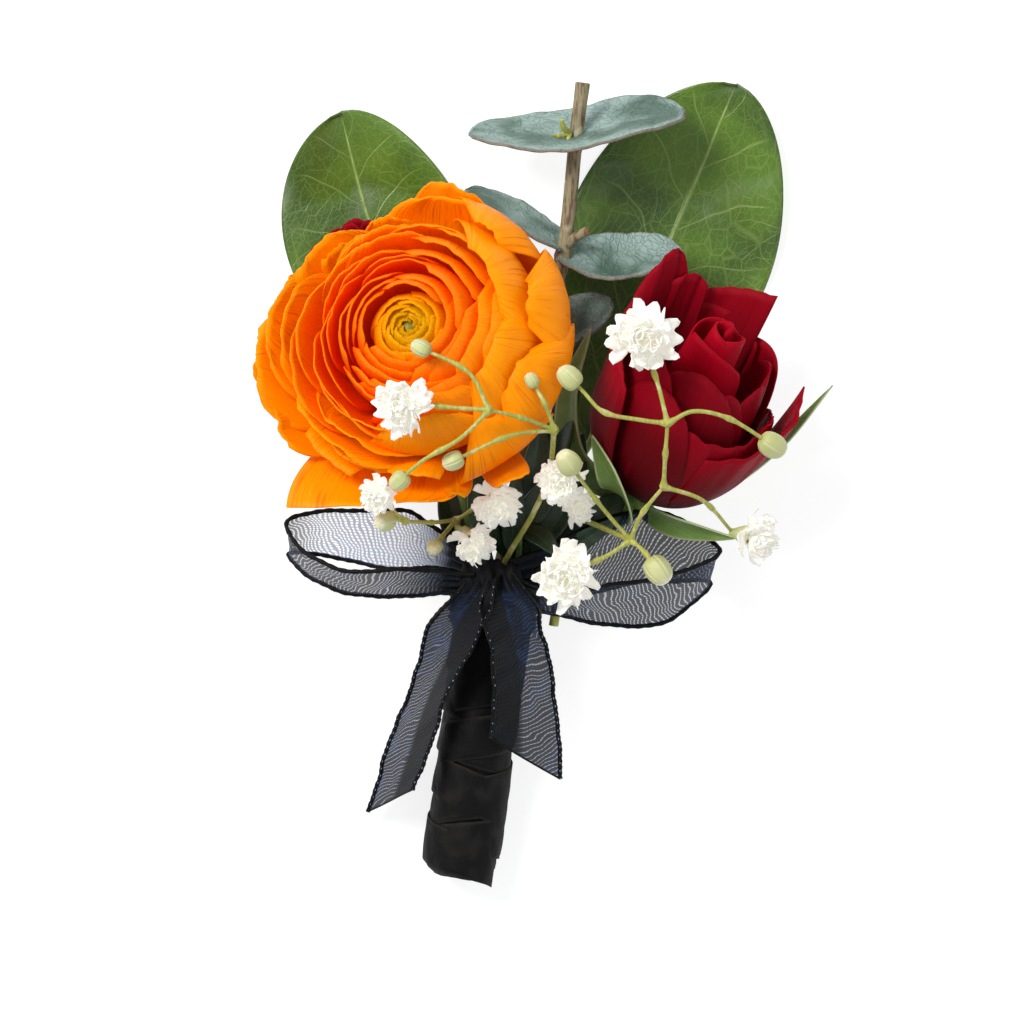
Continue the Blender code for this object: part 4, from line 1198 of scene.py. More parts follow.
@dataclass
class Stems:
    """Where each stem lies in the bound handle."""

    foot: Point = (-14.4, -63.4, 5.25)
    neck: Point = (-8.4, -16.5, 9.8)
    floor: float = 3.4
    slots: dict[str, tuple[float, float]] = field(
        default_factory=lambda: {
            "ranunculus": (-1.9, 2.2),
            "rose": (1.4, 1.7),
            "rear_rose": (-2.95, -1.55),
            "eucalyptus": (0.3, -1.15),
            "left_leaf": (-1.2, -3.7),
            "right_leaf": (2.4, -3.2),
            "left_spray": (-0.2, 4.1),
            "right_spray": (4.1, 0.3),
            "low_spray": (-4.1, 0.65),
            "dark_leaves": (1.6, 3.9),
        }
    )

    @property
    def setting(self) -> Setting:
        """The handle's own frame: its Z runs up the handle, from the foot."""
        axis = tuple(np.array(self.neck) - np.array(self.foot))
        return Setting(self.foot, axis)

    @property
    def length(self) -> float:
        """The handle's length."""
        return float(np.linalg.norm(np.array(self.neck) - np.array(self.foot)))

    def path(self, slot: str, *points: Point) -> Path:
        """A stem's path, from its cut end up its slot and on through the points."""
        right, up = self.slots[slot]
        stations = (self.floor, self.length / 2, self.length - 7.0, self.length + 0.8)
        bound = [tuple(self.setting.carry(np.array((right, -up, s)))) for s in stations]
        return Path([*bound, *(tuple(p) for p in points)])


@dataclass
class Leaf:
    """A leaf or sepal along a midrib, with its outline from a formula."""

    midrib: Path
    width: float
    normal: Point
    fold: float = 0.1
    wave: float = 0.0
    base: float = 0.12
    tip: float = 0.03
    belly: float = 0.85
    bluntness: float = 0.7
    floor: float = -100.0
    curl: float = 0.0
    crinkle: float = 0.0
    rows: int = 48
    columns: int = 32

    def lattice(self) -> tuple[np.ndarray, np.ndarray]:
        """The leaf's (u, v), with rows that come closer together towards the tip."""
        u, v = lattice(self.rows + 1, self.columns + 1)
        return 1 - (1 - u) ** 1.25, v

    def grid(self) -> np.ndarray:
        """The leaf's points on the bench."""
        u, v = self.lattice()
        heading = self.midrib.heading(u)
        side = unit(np.cross(heading, unit(np.array(self.normal))))
        face = np.cross(side, heading)
        swell = np.sin(math.pi * np.clip(u, 0, 1) ** self.belly).clip(0, 1) ** self.bluntness
        half = self.width / 2 * np.maximum(swell, self.base + (self.tip - self.base) * u)
        lift = self.fold * half * np.abs(v) ** 1.5 + self.wave * np.sin(9 * u + 2 * v) * v * v
        lift = lift + self.curl * smooth(v, 0.55, 1.1) * np.sin(math.pi * u)
        lift = lift + self.crinkle * ripple(14 * u + 5 * v, 1.3) * np.abs(v)
        points = self.midrib.at(u) + side * (half * v)[..., None] + face * lift[..., None]
        points[..., 2] = np.maximum(points[..., 2], self.floor)
        return points

    def onto(self, skin: Skin) -> Skin:
        """Adds the leaf to a skin, with how near each point is to the edge."""
        u, v = self.lattice()
        edge = np.maximum(np.abs(v), smooth(u, 0.9, 1.0))
        return skin.sheet(self.grid(), layer=0.5, tone=0.5, edge=edge)


@dataclass
class Rose:
    """A half-open rose: a furled bud inside cupped petals."""

    name: str
    node: str
    setting: Setting
    scale: float = 1.0
    petals: tuple[Petal, ...] = ()
    heart_turns: int = 5
    thickness: float = 0.3

    def furled(self) -> list[Petal]:
        """The rolled petals of the bud, each a turn round the last."""
        made = []
        for i in range(self.heart_turns):
            share = i / max(1, self.heart_turns - 1)
            meridian = (
                (1.2 + 0.6 * share, 2.0), (3.2 + 2.6 * share, 7.0), (2.8 + 4.2 * share, 22.5),
                (0.7 + 3.6 * share, 34.4 - 2.0 * share),
            )
            made.append(
                Petal(
                    40 + 137 * i, 165 - 55 * share, meridian, twist=0.9, droop=1.2 + 1.6 * share, tip=0.75,
                    roll=0.25 + 0.5 * share, seed=i, rows=24, columns=36,
                )
            )
        return made

    def build(self, slot: str) -> None:
        """Builds the bloom."""
        skin, draw = Skin(), random.Random(8)
        for petal, share in [(p, 0.2) for p in self.furled()] + [(p, 0.9) for p in self.petals]:
            grid = petal.grid() * self.scale
            skin.sheet(self.setting.carry(grid), layer=share, tone=draw.random())
        core = turned(
            [(0.0, 0.0), (3.8, 0.2), (5.9, 3.0), (5.6, 8.0), (3.4, 19.0), (1.2, 28.0), (0.0, 29.5)], 32
        )
        skin.sheet(self.setting.carry(core * self.scale), layer=0.1, tone=0.2)
        ride(skin.made(self.name, Finishes.RED, self.thickness), slot, self.node)


def rose_petals() -> tuple[Petal, ...]:
    """The petals of the front rose, placed one by one."""

    def petal(
        azimuth: float, spread: float, belly: float, reach: float, height: float, **more: float
    ) -> Petal:
        """A cupped petal from how wide it swells, and where its rim is."""
        meridian = ((3.6, 0.6), (belly * 0.66, 1.2), (belly * 1.16, 0.5 * height), (reach, height))
        settings = {
            "twist": 0.7, "cup": 0.4, "droop": 3.0, "tip": 0.5, "roll": 0.6, "rows": 26, "columns": 30
        }
        return Petal(azimuth, spread, meridian, **{**settings, **more})

    return (
        petal(12, 42, 11.6, 9.8, 28.6, roll=0.4, seed=1.0, droop=2.0),
        petal(338, 38, 11.2, 8.8, 27.6, roll=0.4, seed=2.0),
        petal(292, 40, 11.4, 8.6, 27.2, roll=0.4, seed=2.6),
        petal(96, 47, 12.6, 13.0, 32.2, lean=-5.0, droop=0.2, roll=0.9, tip=0.94, seed=3.0, ruffle=0.4),
        petal(84, 46, 12.8, 12.8, 29.5, droop=2.0, roll=0.6, tip=0.8, seed=3.6),
        petal(
            136, 30, 13.2, 13.4, 38.4, lean=-4.6, droop=6.5, roll=2.4, tip=0.5, seed=4.0, ruffle=0.4,
            waves=1.6,
        ),
        petal(
            119, 24, 12.6, 12.4, 34.6, lean=-2.0, droop=3.4, roll=1.2, tip=0.7, seed=4.4, ruffle=0.4,
            waves=1.5,
        ),
        petal(208, 50, 13.6, 11.4, 30.6, roll=0.7, seed=5.0, ruffle=0.3),
        petal(256, 56, 12.8, 10.0, 30.2, roll=0.6, seed=6.0, ruffle=0.2),
        petal(40, 40, 13.2, 12.6, 28.5, droop=2.6, roll=0.8, tip=0.7, seed=7.0),
        petal(182, 36, 15.2, 14.4, 27.0, droop=2.0, roll=0.9, seed=8.0, ruffle=0.3, tip=0.65),
        petal(354, 30, 13.2, 12.8, 21.5, droop=1.4, roll=0.4, tip=0.7, seed=8.3, ruffle=0.3),
        petal(318, 40, 13.4, 12.4, 20.5, lean=3.0, droop=0.8, roll=0.4, tip=0.8, seed=8.6, ruffle=0.4),
        petal(200, 26, 15.8, 15.0, 25.0, droop=2.0, roll=0.8, seed=9.0, ruffle=0.2, tip=0.65),
        petal(236, 38, 14.6, 13.2, 26.4, droop=3.0, roll=0.7, seed=10.0, ruffle=0.2, tip=0.6),
        petal(322, 44, 14.0, 15.6, 22.4, lean=4.8, droop=-0.4, roll=0.5, tip=0.96, seed=11.0, ruffle=0.5),
        petal(262, 52, 13.6, 13.6, 21.6, droop=1.4, roll=0.5, tip=0.75, seed=12.0, ruffle=0.6, waves=2.2),
    )


def small_rose_petals() -> tuple[Petal, ...]:
    """The petals of the rose behind, in rings."""
    draw, petals = random.Random(8), []
    for ring, count in enumerate((5, 6, 7)):
        share = ring / 2
        start = draw.uniform(0, 360)
        for i in range(count):
            reach, height = 9.0 + 9.5 * share, 33.0 - 7.5 * share
            meridian = (
                (3.0, 0.6), (11.0 + 6 * share, -0.6), (11.0 + 5 * share, 0.55 * height), (reach, height)
            )
            petals.append(
                Petal(
                    start + 360 * i / count, 1.25 * 180 / count, meridian, droop=3.0, tip=0.5, roll=0.8,
                    ruffle=0.5, seed=draw.uniform(0, 9), rows=16, columns=14,
                )
            )
    return tuple(petals)


# The sepals of the front rose: midrib, width and normal.
ROSE_SEPALS = (
    ([(14.2, -2.8, 10.2), (5.0, 4.0, 12.4), (3.4, 14.0, 16.6), (7.0, 25.5, 20.0)], 5.0, (-0.5, -0.2, 0.85)),
    ([(14.2, -2.8, 10.6), (12.6, -2.4, 19.0), (10.0, 1.6, 25.2), (7.0, 8.0, 26.6)], 7.4, (-0.65, -0.1, 0.7)),
    ([(14.2, -2.8, 10.4), (20.0, -6.1, 15.8), (25.6, -7.6, 18.6), (30.4, -8.6, 20.8)], 4.8, (0.2, -0.6, 0.8)),
    ([(14.4, -2.6, 9.8), (26.0, -1.0, 4.6), (37.0, 6.0, 6.0), (46.2, 16.2, 12.0)], 3.0, (-0.3, 0.3, 0.9)),
)


@dataclass
class Roses:
    """The front rose and the smaller one behind, with their stems, hips and sepals."""

    front: Setting = field(default_factory=lambda: Setting((15.6, -0.4, 11.8), (0.386, 0.755, 0.53)))
    rear: Setting = field(default_factory=lambda: Setting((-27.0, 29.4, 6.6), (-0.36, 0.60, 0.71)))
    rear_scale: float = 0.47

    def sepals(self) -> Skin:
        """The front rose's sepals."""
        skin = Skin()
        shape = {"rows": 24, "columns": 12, "tip": 0.0, "bluntness": 0.8}
        for points, width, normal in ROSE_SEPALS:
            Leaf(Path(points), width, normal, fold=0.35, belly=0.62, **shape).onto(skin)
        return skin

    def stalk(
        self, key: str, bloom: Setting, scale: float, radii: tuple[float, float], way: Path, tools: Tools,
    ) -> list[bpy.types.Object]:
        """A rose's stalk along its way, and the hip, the swelling under the bloom."""
        profile = [(0.0, -0.2), (2.3, -0.35), (2.9, -2.1), (2.2, -4.3), (1.3, -5.4)]
        hip = turned([(r * scale, h * scale) for r, h in profile], 24)
        skin = Skin().sheet(bloom.carry(hip), layer=0.5, tone=0.5, edge=0.0)
        return [
            Stalks().add(way, *radii).made(f"{key}_stalk", tools, Finishes.GREEN_STALK),
            skin.made(f"{key}_hip", Finishes.GREEN_STALK, weld=WELD),
        ]

    def build(self, tools: Tools, stems: Stems) -> None:
        """Builds both roses."""
        front, rear, scale = self.front, self.rear, self.rear_scale
        Rose("rose_bloom", "rose_petals", front, petals=rose_petals()).build("red_petal")
        Rose("rear_rose_bloom", "rear_rose_petals", rear, scale, small_rose_petals(), 4).build("red_petal")
        way = stems.path("rose", (0.5, -10.8, 11.6), front.carry((0, 0, -5.0)), front.carry((0, 0, -1.2)))
        pieces = self.stalk("rose", front, 1.0, (1.3, 1.4), way, tools)
        pieces.append(self.sepals().made("sepals", Finishes.SEPAL, 0.3))
        ride(joined("rose_stalk_and_sepals", pieces), "stem_green", "rose_stem")
        ends = rear.carry((0, 0, -5.0 * scale)), rear.carry((0, 0, -0.8))
        way = stems.path("rear_rose", (-13.6, -8.0, 7.6), (-18.5, 6.0, 5.6), *ends)
        pieces = self.stalk("rear_rose", rear, scale, (1.15, 1.15), way, tools)
        ride(joined("rear_rose_stalk_and_hip", pieces), "stem_green", "rear_rose_stem")


# The narrow dark leaves, three of them from one root: midrib, width and normal.
DARK_ROOT = (-4.6, -6.8, 17.3)
DARK_LEAVES = (
    ([DARK_ROOT, (-7.6, -2.6, 18.4), (-10.4, 1.4, 17.6)], 4.4, (0.3, -0.4, 0.9)),
    ([DARK_ROOT, (-1.4, -2.6, 19.0), (0.6, 1.6, 20.0)], 4.6, (-0.2, -0.4, 0.9)),
    ([DARK_ROOT, (-1.0, -8.6, 20.4), (1.6, -11.4, 22.0)], 3.8, (0.1, 0.5, 0.9)),
    ([(-8.0, -10.0, 16.0), (-11.0, -5.0, 20.0), (-12.5, 0.0, 20.5)], 4.0, (0.4, -0.3, 0.9)),
    ([(-6.0, -11.0, 16.0), (-5.5, -4.0, 21.0), (-5.0, 2.5, 22.0)], 3.6, (0.1, -0.3, 0.9)),
    ([(-3.0, -11.0, 15.0), (2.0, -5.0, 17.0), (5.0, 2.0, 17.5)], 3.8, (-0.4, -0.2, 0.9)),
    ([(-2.0, -11.5, 14.0), (5.0, -9.0, 15.0), (12.0, -5.0, 14.0)], 3.4, (-0.1, -0.5, 0.85)),
    ([(-4.0, -9.0, 14.0), (0.0, 2.0, 14.0), (4.0, 12.0, 13.0)], 5.4, (-0.2, 0.0, 1.0)),
    ([(-3.0, -8.0, 12.0), (2.0, 8.0, 14.0), (5.6, 24.0, 18.0)], 5.0, (-0.5, 0.0, 0.85)),
    ([(-6.0, -12.0, 14.0), (-9.0, -4.0, 17.0), (-13.0, 3.0, 18.0)], 5.0, (0.2, -0.2, 1.0)),
    ([(-3.0, -12.0, 13.0), (3.0, -7.0, 13.0), (9.5, -3.0, 12.0)], 5.4, (0.0, -0.3, 0.95)),
    ([(-9.0, -13.0, 12.0), (-14.5, -7.0, 12.5), (-17.0, 1.5, 13.0)], 5.4, (0.2, 0.0, 1.0)),
    ([(-1.0, -9.0, 11.8), (3.2, 0.0, 12.2), (5.8, 8.5, 12.6)], 5.8, (-0.2, 0.0, 1.0)),
    ([(-4.0, -9.0, 13.0), (-2.2, 0.0, 14.5), (-1.0, 11.0, 15.5)], 4.8, (0.1, 0.0, 1.0)),
    ([(-6.0, -14.0, 13.4), (-4.4, -10.0, 13.8), (-3.4, -5.0, 14.2)], 4.4, (0.0, 0.0, 1.0)),
    ([(1.0, -10.0, 12.4), (8.0, -5.2, 12.4), (13.0, -1.0, 11.5)], 5.8, (-0.1, -0.2, 1.0)),
)

# The eucalyptus leaves by piece: its name, its node, and each leaf's midrib, width, normal and fold.
EUCALYPTUS_LEAVES = (
    ("eucalyptus_pair_top", "eucalyptus_leaves_top", (
        (
            [
                (-12.6, 56.9, 13.6), (-4.0, 56.3, 13.3), (4.6, 56.6, 13.2), (13.6, 59.0, 13.4),
                (22.2, 60.0, 13.6),
            ],
            18.4, (-0.06, 0.91, 0.41), 0.12,
        ),
    )),
    ("eucalyptus_pair_middle", "eucalyptus_leaves_middle", (
        ([(2.8, 38.2, 12.2), (-5.0, 43.0, 10.0), (-13.2, 48.0, 9.0)], 13.5, (0.5, 0.8, 0.35), 0.15),
        ([(1.8, 37.2, 12.2), (11.4, 34.8, 13.0), (21.8, 37.4, 13.6)], 17.2, (0.0, 0.9, 0.47), 0.3),
    )),
    ("eucalyptus_small_leaf", "eucalyptus_leaf_low", (
        ([(-3.6, 22.4, 10.2), (2.0, 25.4, 11.6), (10.4, 29.6, 12.6)], 8.5, (0.2, 0.5, 0.8), 0.2),
    )),
)

# The tips of its young bud: the points of each, with the radius at each.
YOUNG_BUD = (
    ([(3.6, 57.0, 14.6), (2.6, 57.6, 16.2), (2.2, 58.9, 17.0)], (0.45, 0.55, 0.3)),
    ([(3.4, 56.8, 14.8), (1.6, 56.4, 15.6), (0.8, 56.6, 16.0)], (0.4, 0.4, 0.15)),
    ([(3.6, 56.8, 14.8), (3.2, 55.4, 15.4), (3.4, 54.8, 15.8)], (0.4, 0.35, 0.12)),
)


@dataclass
class Foliage:
    """The broad leaves, the eucalyptus sprig and the narrow dark leaves."""

    rest: float = 0.31

    def broad_leaf(self, name: str, node: str, leaf: Leaf, stalk: Path, tools: Tools) -> None:
        """Builds one broad leaf with its raised midrib and its stalk."""
        skin = leaf.onto(Skin())
        stalks = Stalks().add(stalk, 0.75, 0.7)
        u = np.linspace(0.0, 0.94, 40)
        line = leaf.midrib.at(u)
        line[:, 2] = np.maximum(line[:, 2], self.rest) + 0.1
        stalks.line(line, 0.46 - 0.34 * u)
        pieces = [
            skin.made("blade", Finishes.SALAL, 0.36),
            stalks.made("midrib", tools, Finishes.MIDRIB, 10),
        ]
        ride(joined(name, pieces), "leaf_green", node)

    def salal(self, tools: Tools, stems: Stems) -> None:
        """Builds the two leaves that the bunch rests on."""
        shape = {"floor": self.rest, "rows": 60, "columns": 44, "belly": 1.14, "bluntness": 0.52, "tip": 0.0}
        for side, points, width, bend, bent in (
            (
                "left", [(-18.6, 17.0, 3.0), (-23.8, 30.0, -0.2), (-29.3, 44.0, -0.4), (-33.8, 61.0, 3.0)],
                29.5, (-12.5, -4.0, 5.0), {"fold": 0.05, "wave": 1.0, "curl": 3.2},
            ),
            (
                "right", [(7.0, 7.0, 3.0), (13.5, 24.0, -0.2), (21.4, 43.0, -0.5), (30.8, 65.4, 5.0)], 34.6,
                (-2.0, -6.0, 5.4), {"fold": 0.06, "wave": 1.2},
            ),
        ):
            leaf = Leaf(Path(points), width, (0, 0, 1), **bent, **shape)
            stalk = stems.path(f"{side}_leaf", bend, *leaf.midrib.at(np.array((0.0, 0.06))))
            self.broad_leaf(f"salal_blade_{side}", f"salal_leaf_{side}", leaf, stalk, tools)

    def eucalyptus(self, tools: Tools, stems: Stems) -> None:
        """Builds the twig, its paired round leaves, its stub and a young bud."""
        way = stems.path(
            "eucalyptus", (-5.0, -2.0, 9.4), (-1.4, 18.0, 10.4), (2.8, 39.0, 12.2), (4.6, 56.4, 13.2),
            (5.7, 65.1, 13.6),
        )
        stalks = Stalks().add(way, 1.35, 1.12, 90, knots=[(0.78, 0.35), (0.925, 0.3), (0.995, 0.12)])
        stub = Path([(2.8, 38.6, 12.4), (4.4, 40.0, 13.8), (6.4, 41.2, 14.6)])
        stalks.add(stub, 0.95, 0.7, 12)
        twig = stalks.made("twig", tools, Finishes.BARK, 16)
        cut = Stalks()
        for path, depth, radii in ((way, 0.3, (1.18, 1.02)), (stub, 0.25, (0.76, 0.62))):
            end, aim = path.at(1.0), path.heading(1.0)
            cut.line(np.stack([end - aim * depth, end + aim * 0.06]), radii)
        pieces = [twig, cut.made("cut_ends", tools, Finishes.CUT, 14)]
        ride(joined("eucalyptus_twig", pieces), "eucalyptus_bark", "eucalyptus_stem")
        shape = {"base": 0.42, "tip": 0.0, "belly": 0.95, "bluntness": 0.42, "rows": 40, "columns": 36}
        for name, node, table in EUCALYPTUS_LEAVES:
            skin = Skin()
            for points, width, normal, fold in table:
                leaf = Leaf(Path(points), width, normal, fold=fold, crinkle=0.25, **shape)
                if len(points) > 3:
                    leaf.belly, leaf.base, leaf.bluntness, leaf.rows = 1.18, 0.02, 0.34, 90
                leaf.onto(skin)
            ride(skin.made(name, Finishes.EUCALYPTUS, 0.5), "eucalyptus_leaf", node)
        bud = Stalks()
        for points, girths in YOUNG_BUD:
            bud.line(points, girths)
        ride(bud.made("eucalyptus_young_bud", tools, Finishes.SPRAY_STALK), "spray_green")

    def dark(self, tools: Tools, stems: Stems) -> None:
        """Builds the narrow dark leaves in the middle."""
        stalks = Stalks().add(
            stems.path("dark_leaves", (-4.8, -12.0, 15.0), (-4.6, -6.5, 17.8)), 0.5, 0.5, 30
        )
        shape = {"rows": 26, "columns": 12, "base": 0.2, "tip": 0.0}
        skin = Skin()
        for points, width, normal in DARK_LEAVES:
            Leaf(Path(points), width, normal, fold=0.3, **shape).onto(skin)
        pieces = [
            stalks.made("dark_stalk", tools, Finishes.GREEN_STALK, 10),
            skin.made("dark_blades", Finishes.DARK_LEAF, 0.3),
        ]
        ride(joined("dark_foliage", pieces), "dark_leaf", "dark_leaves")

    def build(self, tools: Tools, stems: Stems) -> None:
        """Builds all the foliage."""
        self.salal(tools, stems)
        self.eucalyptus(tools, stems)
        self.dark(tools, stems)


@dataclass
class Head:
    """A double gypsophila flower: its middle, the way it faces and its radius."""

    centre: Point
    facing: Point
    radius: float

    @property
    def setting(self) -> Setting:
        """The head's own frame."""
        return Setting(self.centre, self.facing)

    def calyx(self) -> Point:
        """The point inside the calyx where the head's stalk ends."""
        return tuple(self.setting.carry((0, 0, -0.6 * self.radius - 1.15)))


@dataclass
class Gypsophila:
    """Three sprays of fine forking stalks with round buds and double white flowers."""

    heads: dict[str, Head] = field(
        default_factory=lambda: {
            "front": Head((-23.0, 12.0, 51.4), (0.0, -0.25, 1.0), 5.0),
            "over_rose": Head((14.6, 23.0, 43.6), (0.0, 0.0, 1.0), 5.6),
            "over_loop": Head((2.9, -14.7, 36.4), (0.0, -0.15, 1.0), 5.6),
            "outer": Head((32.8, -8.3, 29.6), (0.9, -0.2, 0.4), 4.4),
            "low": Head((-12.2, -9.3, 25.6), (0.3, -0.6, 0.75), 3.8),
            "middle": Head((1.6, 0.5, 36.0), (0.15, -0.25, 1.0), 4.2),
            "under_petal": Head((-8.3, -2.8, 29.6), (0.0, -0.6, 0.8), 4.4),
            "left": Head((-26.9, -1.8, 45.0), (-0.3, -0.4, 0.8), 3.2),
            "deep": Head((4.4, -3.4, 23.6), (0.3, -0.2, 0.9), 3.4),
        }
    )

    def petal(self) -> bpy.types.Object:
        """One small petal of length one, ruffled at its end."""
        u, v = lattice(9, 15)
        width = 0.09 + 0.4 * smooth(u, 0.05, 0.7)
        length = u * (0.88 + 0.11 * np.cos(7.4 * v)) - 0.16 * v * v * u * u
        lift = 0.12 * np.sin(6.0 * v + 0.6) * u**2 + 0.3 * v * v * u + 0.16 * u * u
        grid = np.stack([length, width * v, lift], axis=-1) * 1000 - BENCH_TO_ROW
        made = Skin().sheet(grid, reach=u).made("small_petal", Finishes.RUFFLE, 30.0)
        made.hide_render = True
        return made

    def flowers(self, tools: Tools) -> None:
        """Builds the double flowers."""
        petal = self.petal()
        for seed, (key, head) in enumerate(self.heads.items()):
            seat = linked(f"gypsophila_head_{key}", bpy.data.meshes.new(key))
            count = int(18 + 2.2 * head.radius)
            tools.head.run(
                seat, Finishes.RUFFLE, Petal=petal, Count=count, Radius=head.radius * 1.05 * MM,
                Seed=seed * 7 + 1,
            )
            mesh = seat.data
            points = np.zeros(len(mesh.vertices) * 3, np.float32)
            mesh.vertices.foreach_get("co", points)
            placed = on_row(head.setting.carry(points.reshape(-1, 3) / MM))
            mesh.vertices.foreach_set("co", placed.astype(np.float32).ravel())
            mesh.update()
            mesh.shade_smooth()
            ride(seat, "white_petal", f"gypsophila_flower_{key}")
        bpy.data.objects.remove(petal)

    @staticmethod
    def bud_onto(skin: Skin, centre: Point, radius: float, facing: Point) -> None:
        """Adds a round bud with five low ridges."""
        u, turn = lattice(15, 31, 0.0, 2 * math.pi)
        swell = np.sin(math.pi * (0.04 + 0.92 * u) ** 0.9) ** 0.75
        ridge = 1 + 0.05 * np.cos(5 * turn) * np.sin(math.pi * u)
        height = 1.12 * np.cos(math.pi * (1 - u)) + 0.1 * (u > 0.97)
        grid = around(swell * ridge, turn, height)
        for end in (0, -1):
            grid[end] = (0, 0, height[end, 0])
        skin.sheet(Setting(centre, facing).carry(grid * radius))

    def spray(
        self, key: str, tools: Tools, trunk: Path, branches: Sequence[Sequence[Point]],
        heads: Sequence[str], buds: Sequence[tuple[Point, float]],
    ) -> None:
        """Builds one spray.

        Args:
            key: left, right or low.
            tools: the Geometry Nodes trees.
            trunk: its main stalk, from the handle to the first fork.
            branches: the points of each branch.
            heads: the flowers that it carries.
            buds: the centre and radius of each bud.
        """
        stalks, skin, cups = Stalks(), Skin(), Skin()
        stalks.add(trunk, 0.5, 0.42, 50, knots=[(1.0, 0.34)])
        tips: list[tuple[np.ndarray, np.ndarray]] = []
        for points in branches:
            way = Path(points)
            stalks.add(way, 0.36, 0.29, 26, knots=[(0.0, 0.34), (0.55, 0.2)])
            tips.append((way.at(1.0), way.heading(1.0)))
        if key == "right":
            stalks.add(Path([(2.6, -5.8, 11.6), (2.2, -15.0, 9.6), (1.0, -22.8, 8.6)]), 0.7, 0.8, 20)
        for name in heads:
            head = self.heads[name]
            top = -0.36 * head.radius
            profile = [
                (0.45, top - 2.6), (0.62, top - 2.0), (1.15, top - 0.9), (1.5, top + 0.2), (1.2, top + 0.7)
            ]
            cups.sheet(head.setting.carry(turned(profile, 20)))
        for centre, radius in buds:
            far = [np.linalg.norm(tip - np.array(centre)) for tip, _ in tips]
            facing = tuple(tips[int(np.argmin(far))][1])
            self.bud_onto(skin, centre, radius, facing)
        pieces = [
            stalks.made("stalks", tools, Finishes.SPRAY_STALK, 10),
            cups.made("cups", Finishes.BUD, 0.15),
        ]
        node = f"gypsophila_spray_{key}"
        ride(joined(f"gypsophila_stalks_{key}", pieces), "spray_green", node)
        ride(skin.made(f"gypsophila_buds_{key}", Finishes.BUD, weld=WELD), "spray_green")

    def build(self, tools: Tools, stems: Stems) -> None:
        """Builds the three sprays and their flowers."""
        calyx = {key: head.calyx() for key, head in self.heads.items()}
        fork, knee, low_knee = (0.9, 8.6, 42.0), (-9.3, 11.6, 49.0), (0.0, 1.0, 29.0)
        self.spray(
            "left",
            tools,
            stems.path("left_spray", (-6.2, -11.0, 18.0), (-2.6, -5.0, 24.5), low_knee, fork),
            [
                [fork, (-4.2, 10.4, 46.6), knee], [knee, (-12.5, 17.4, 49.6), (-20.0, 21.3, 48.6)],
                [knee, (-17.3, 12.2, 48.6), calyx["front"]],
                [knee, (-13.8, 7.2, 49.4), (-19.7, 3.7, 48.8), (-23.4, 0.5, 47.4)],
                [fork, (-6.1, 7.6, 46.6), (-15.0, 3.7, 46.8)],
                [fork, (-0.6, 12.6, 44.0), (-2.7, 16.3, 44.6)],
                [low_knee, (-0.4, 2.0, 31.0), calyx["middle"]],
            ],
            ["front", "middle"],
            [
                ((-20.0, 21.3, 48.8), 1.4), ((-23.4, 0.5, 47.2), 1.5), ((-15.0, 3.7, 46.8), 1.5),
                ((-2.7, 16.3, 44.8), 1.1),
            ],
        )
        base, rise, cross = (13.1, -8.8, 31.0), (18.2, -0.3, 37.0), (18.7, 9.6, 42.4)
        bough = (5.0, -5.4, 17.8)
        self.spray(
            "right",
            tools,
            stems.path("right_spray", (-1.0, -10.6, 8.8), (2.6, -5.8, 11.6), bough, base),
            [
                [bough, (4.6, -4.6, 19.2), calyx["deep"]], [base, (15.0, -10.4, 33.0), (17.4, -13.6, 34.0)],
                [base, (9.1, -11.4, 31.6), calyx["over_loop"]],
                [base, (10.2, -5.6, 33.4), (6.9, -1.6, 37.6), (3.1, 3.5, 41.2)],
                [base, (14.7, -4.8, 34.4), rise], [rise, (18.4, 4.8, 40.4), cross],
                [rise, (24.3, -2.4, 35.0), calyx["outer"]], [cross, (17.1, 16.0, 42.0), calyx["over_rose"]],
                [cross, (22.7, 11.5, 42.8), (28.3, 10.4, 42.0), (35.4, 6.2, 39.0)],
                [cross, (14.7, 10.1, 43.0), (8.6, 11.4, 43.6), (5.4, 14.6, 43.6), (3.2, 16.8, 43.8)],
            ],
            ["deep", "over_loop", "outer", "over_rose"],
            [
                ((17.4, -13.6, 34.2), 2.1), ((3.1, 3.5, 41.6), 1.9), ((35.4, 6.2, 39.0), 2.0),
                ((3.2, 16.8, 44.0), 1.8),
            ],
        )
        split, bend = (-14.8, -5.6, 17.0), (-22.6, -5.8, 35.0)
        self.spray(
            "low",
            tools,
            stems.path("low_spray", (-13.8, -11.0, 12.2), split),
            [
                [split, (-14.4, -6.8, 19.6), calyx["low"]],
                [split, (-12.8, -4.4, 21.0), calyx["under_petal"]], [split, (-18.6, -6.0, 27.0), bend],
                [bend, (-24.6, -4.0, 38.4), calyx["left"]],
                [bend, (-24.4, -5.4, 37.6), (-25.8, -5.8, 39.8)],
                [split, (-17.2, -8.6, 20.4), (-18.2, -10.0, 24.0)],
            ],
            ["low", "under_petal", "left"],
            [((-25.8, -5.8, 40.4), 1.6), ((-18.2, -10.0, 24.6), 1.3)],
        )
        self.flowers(tools)


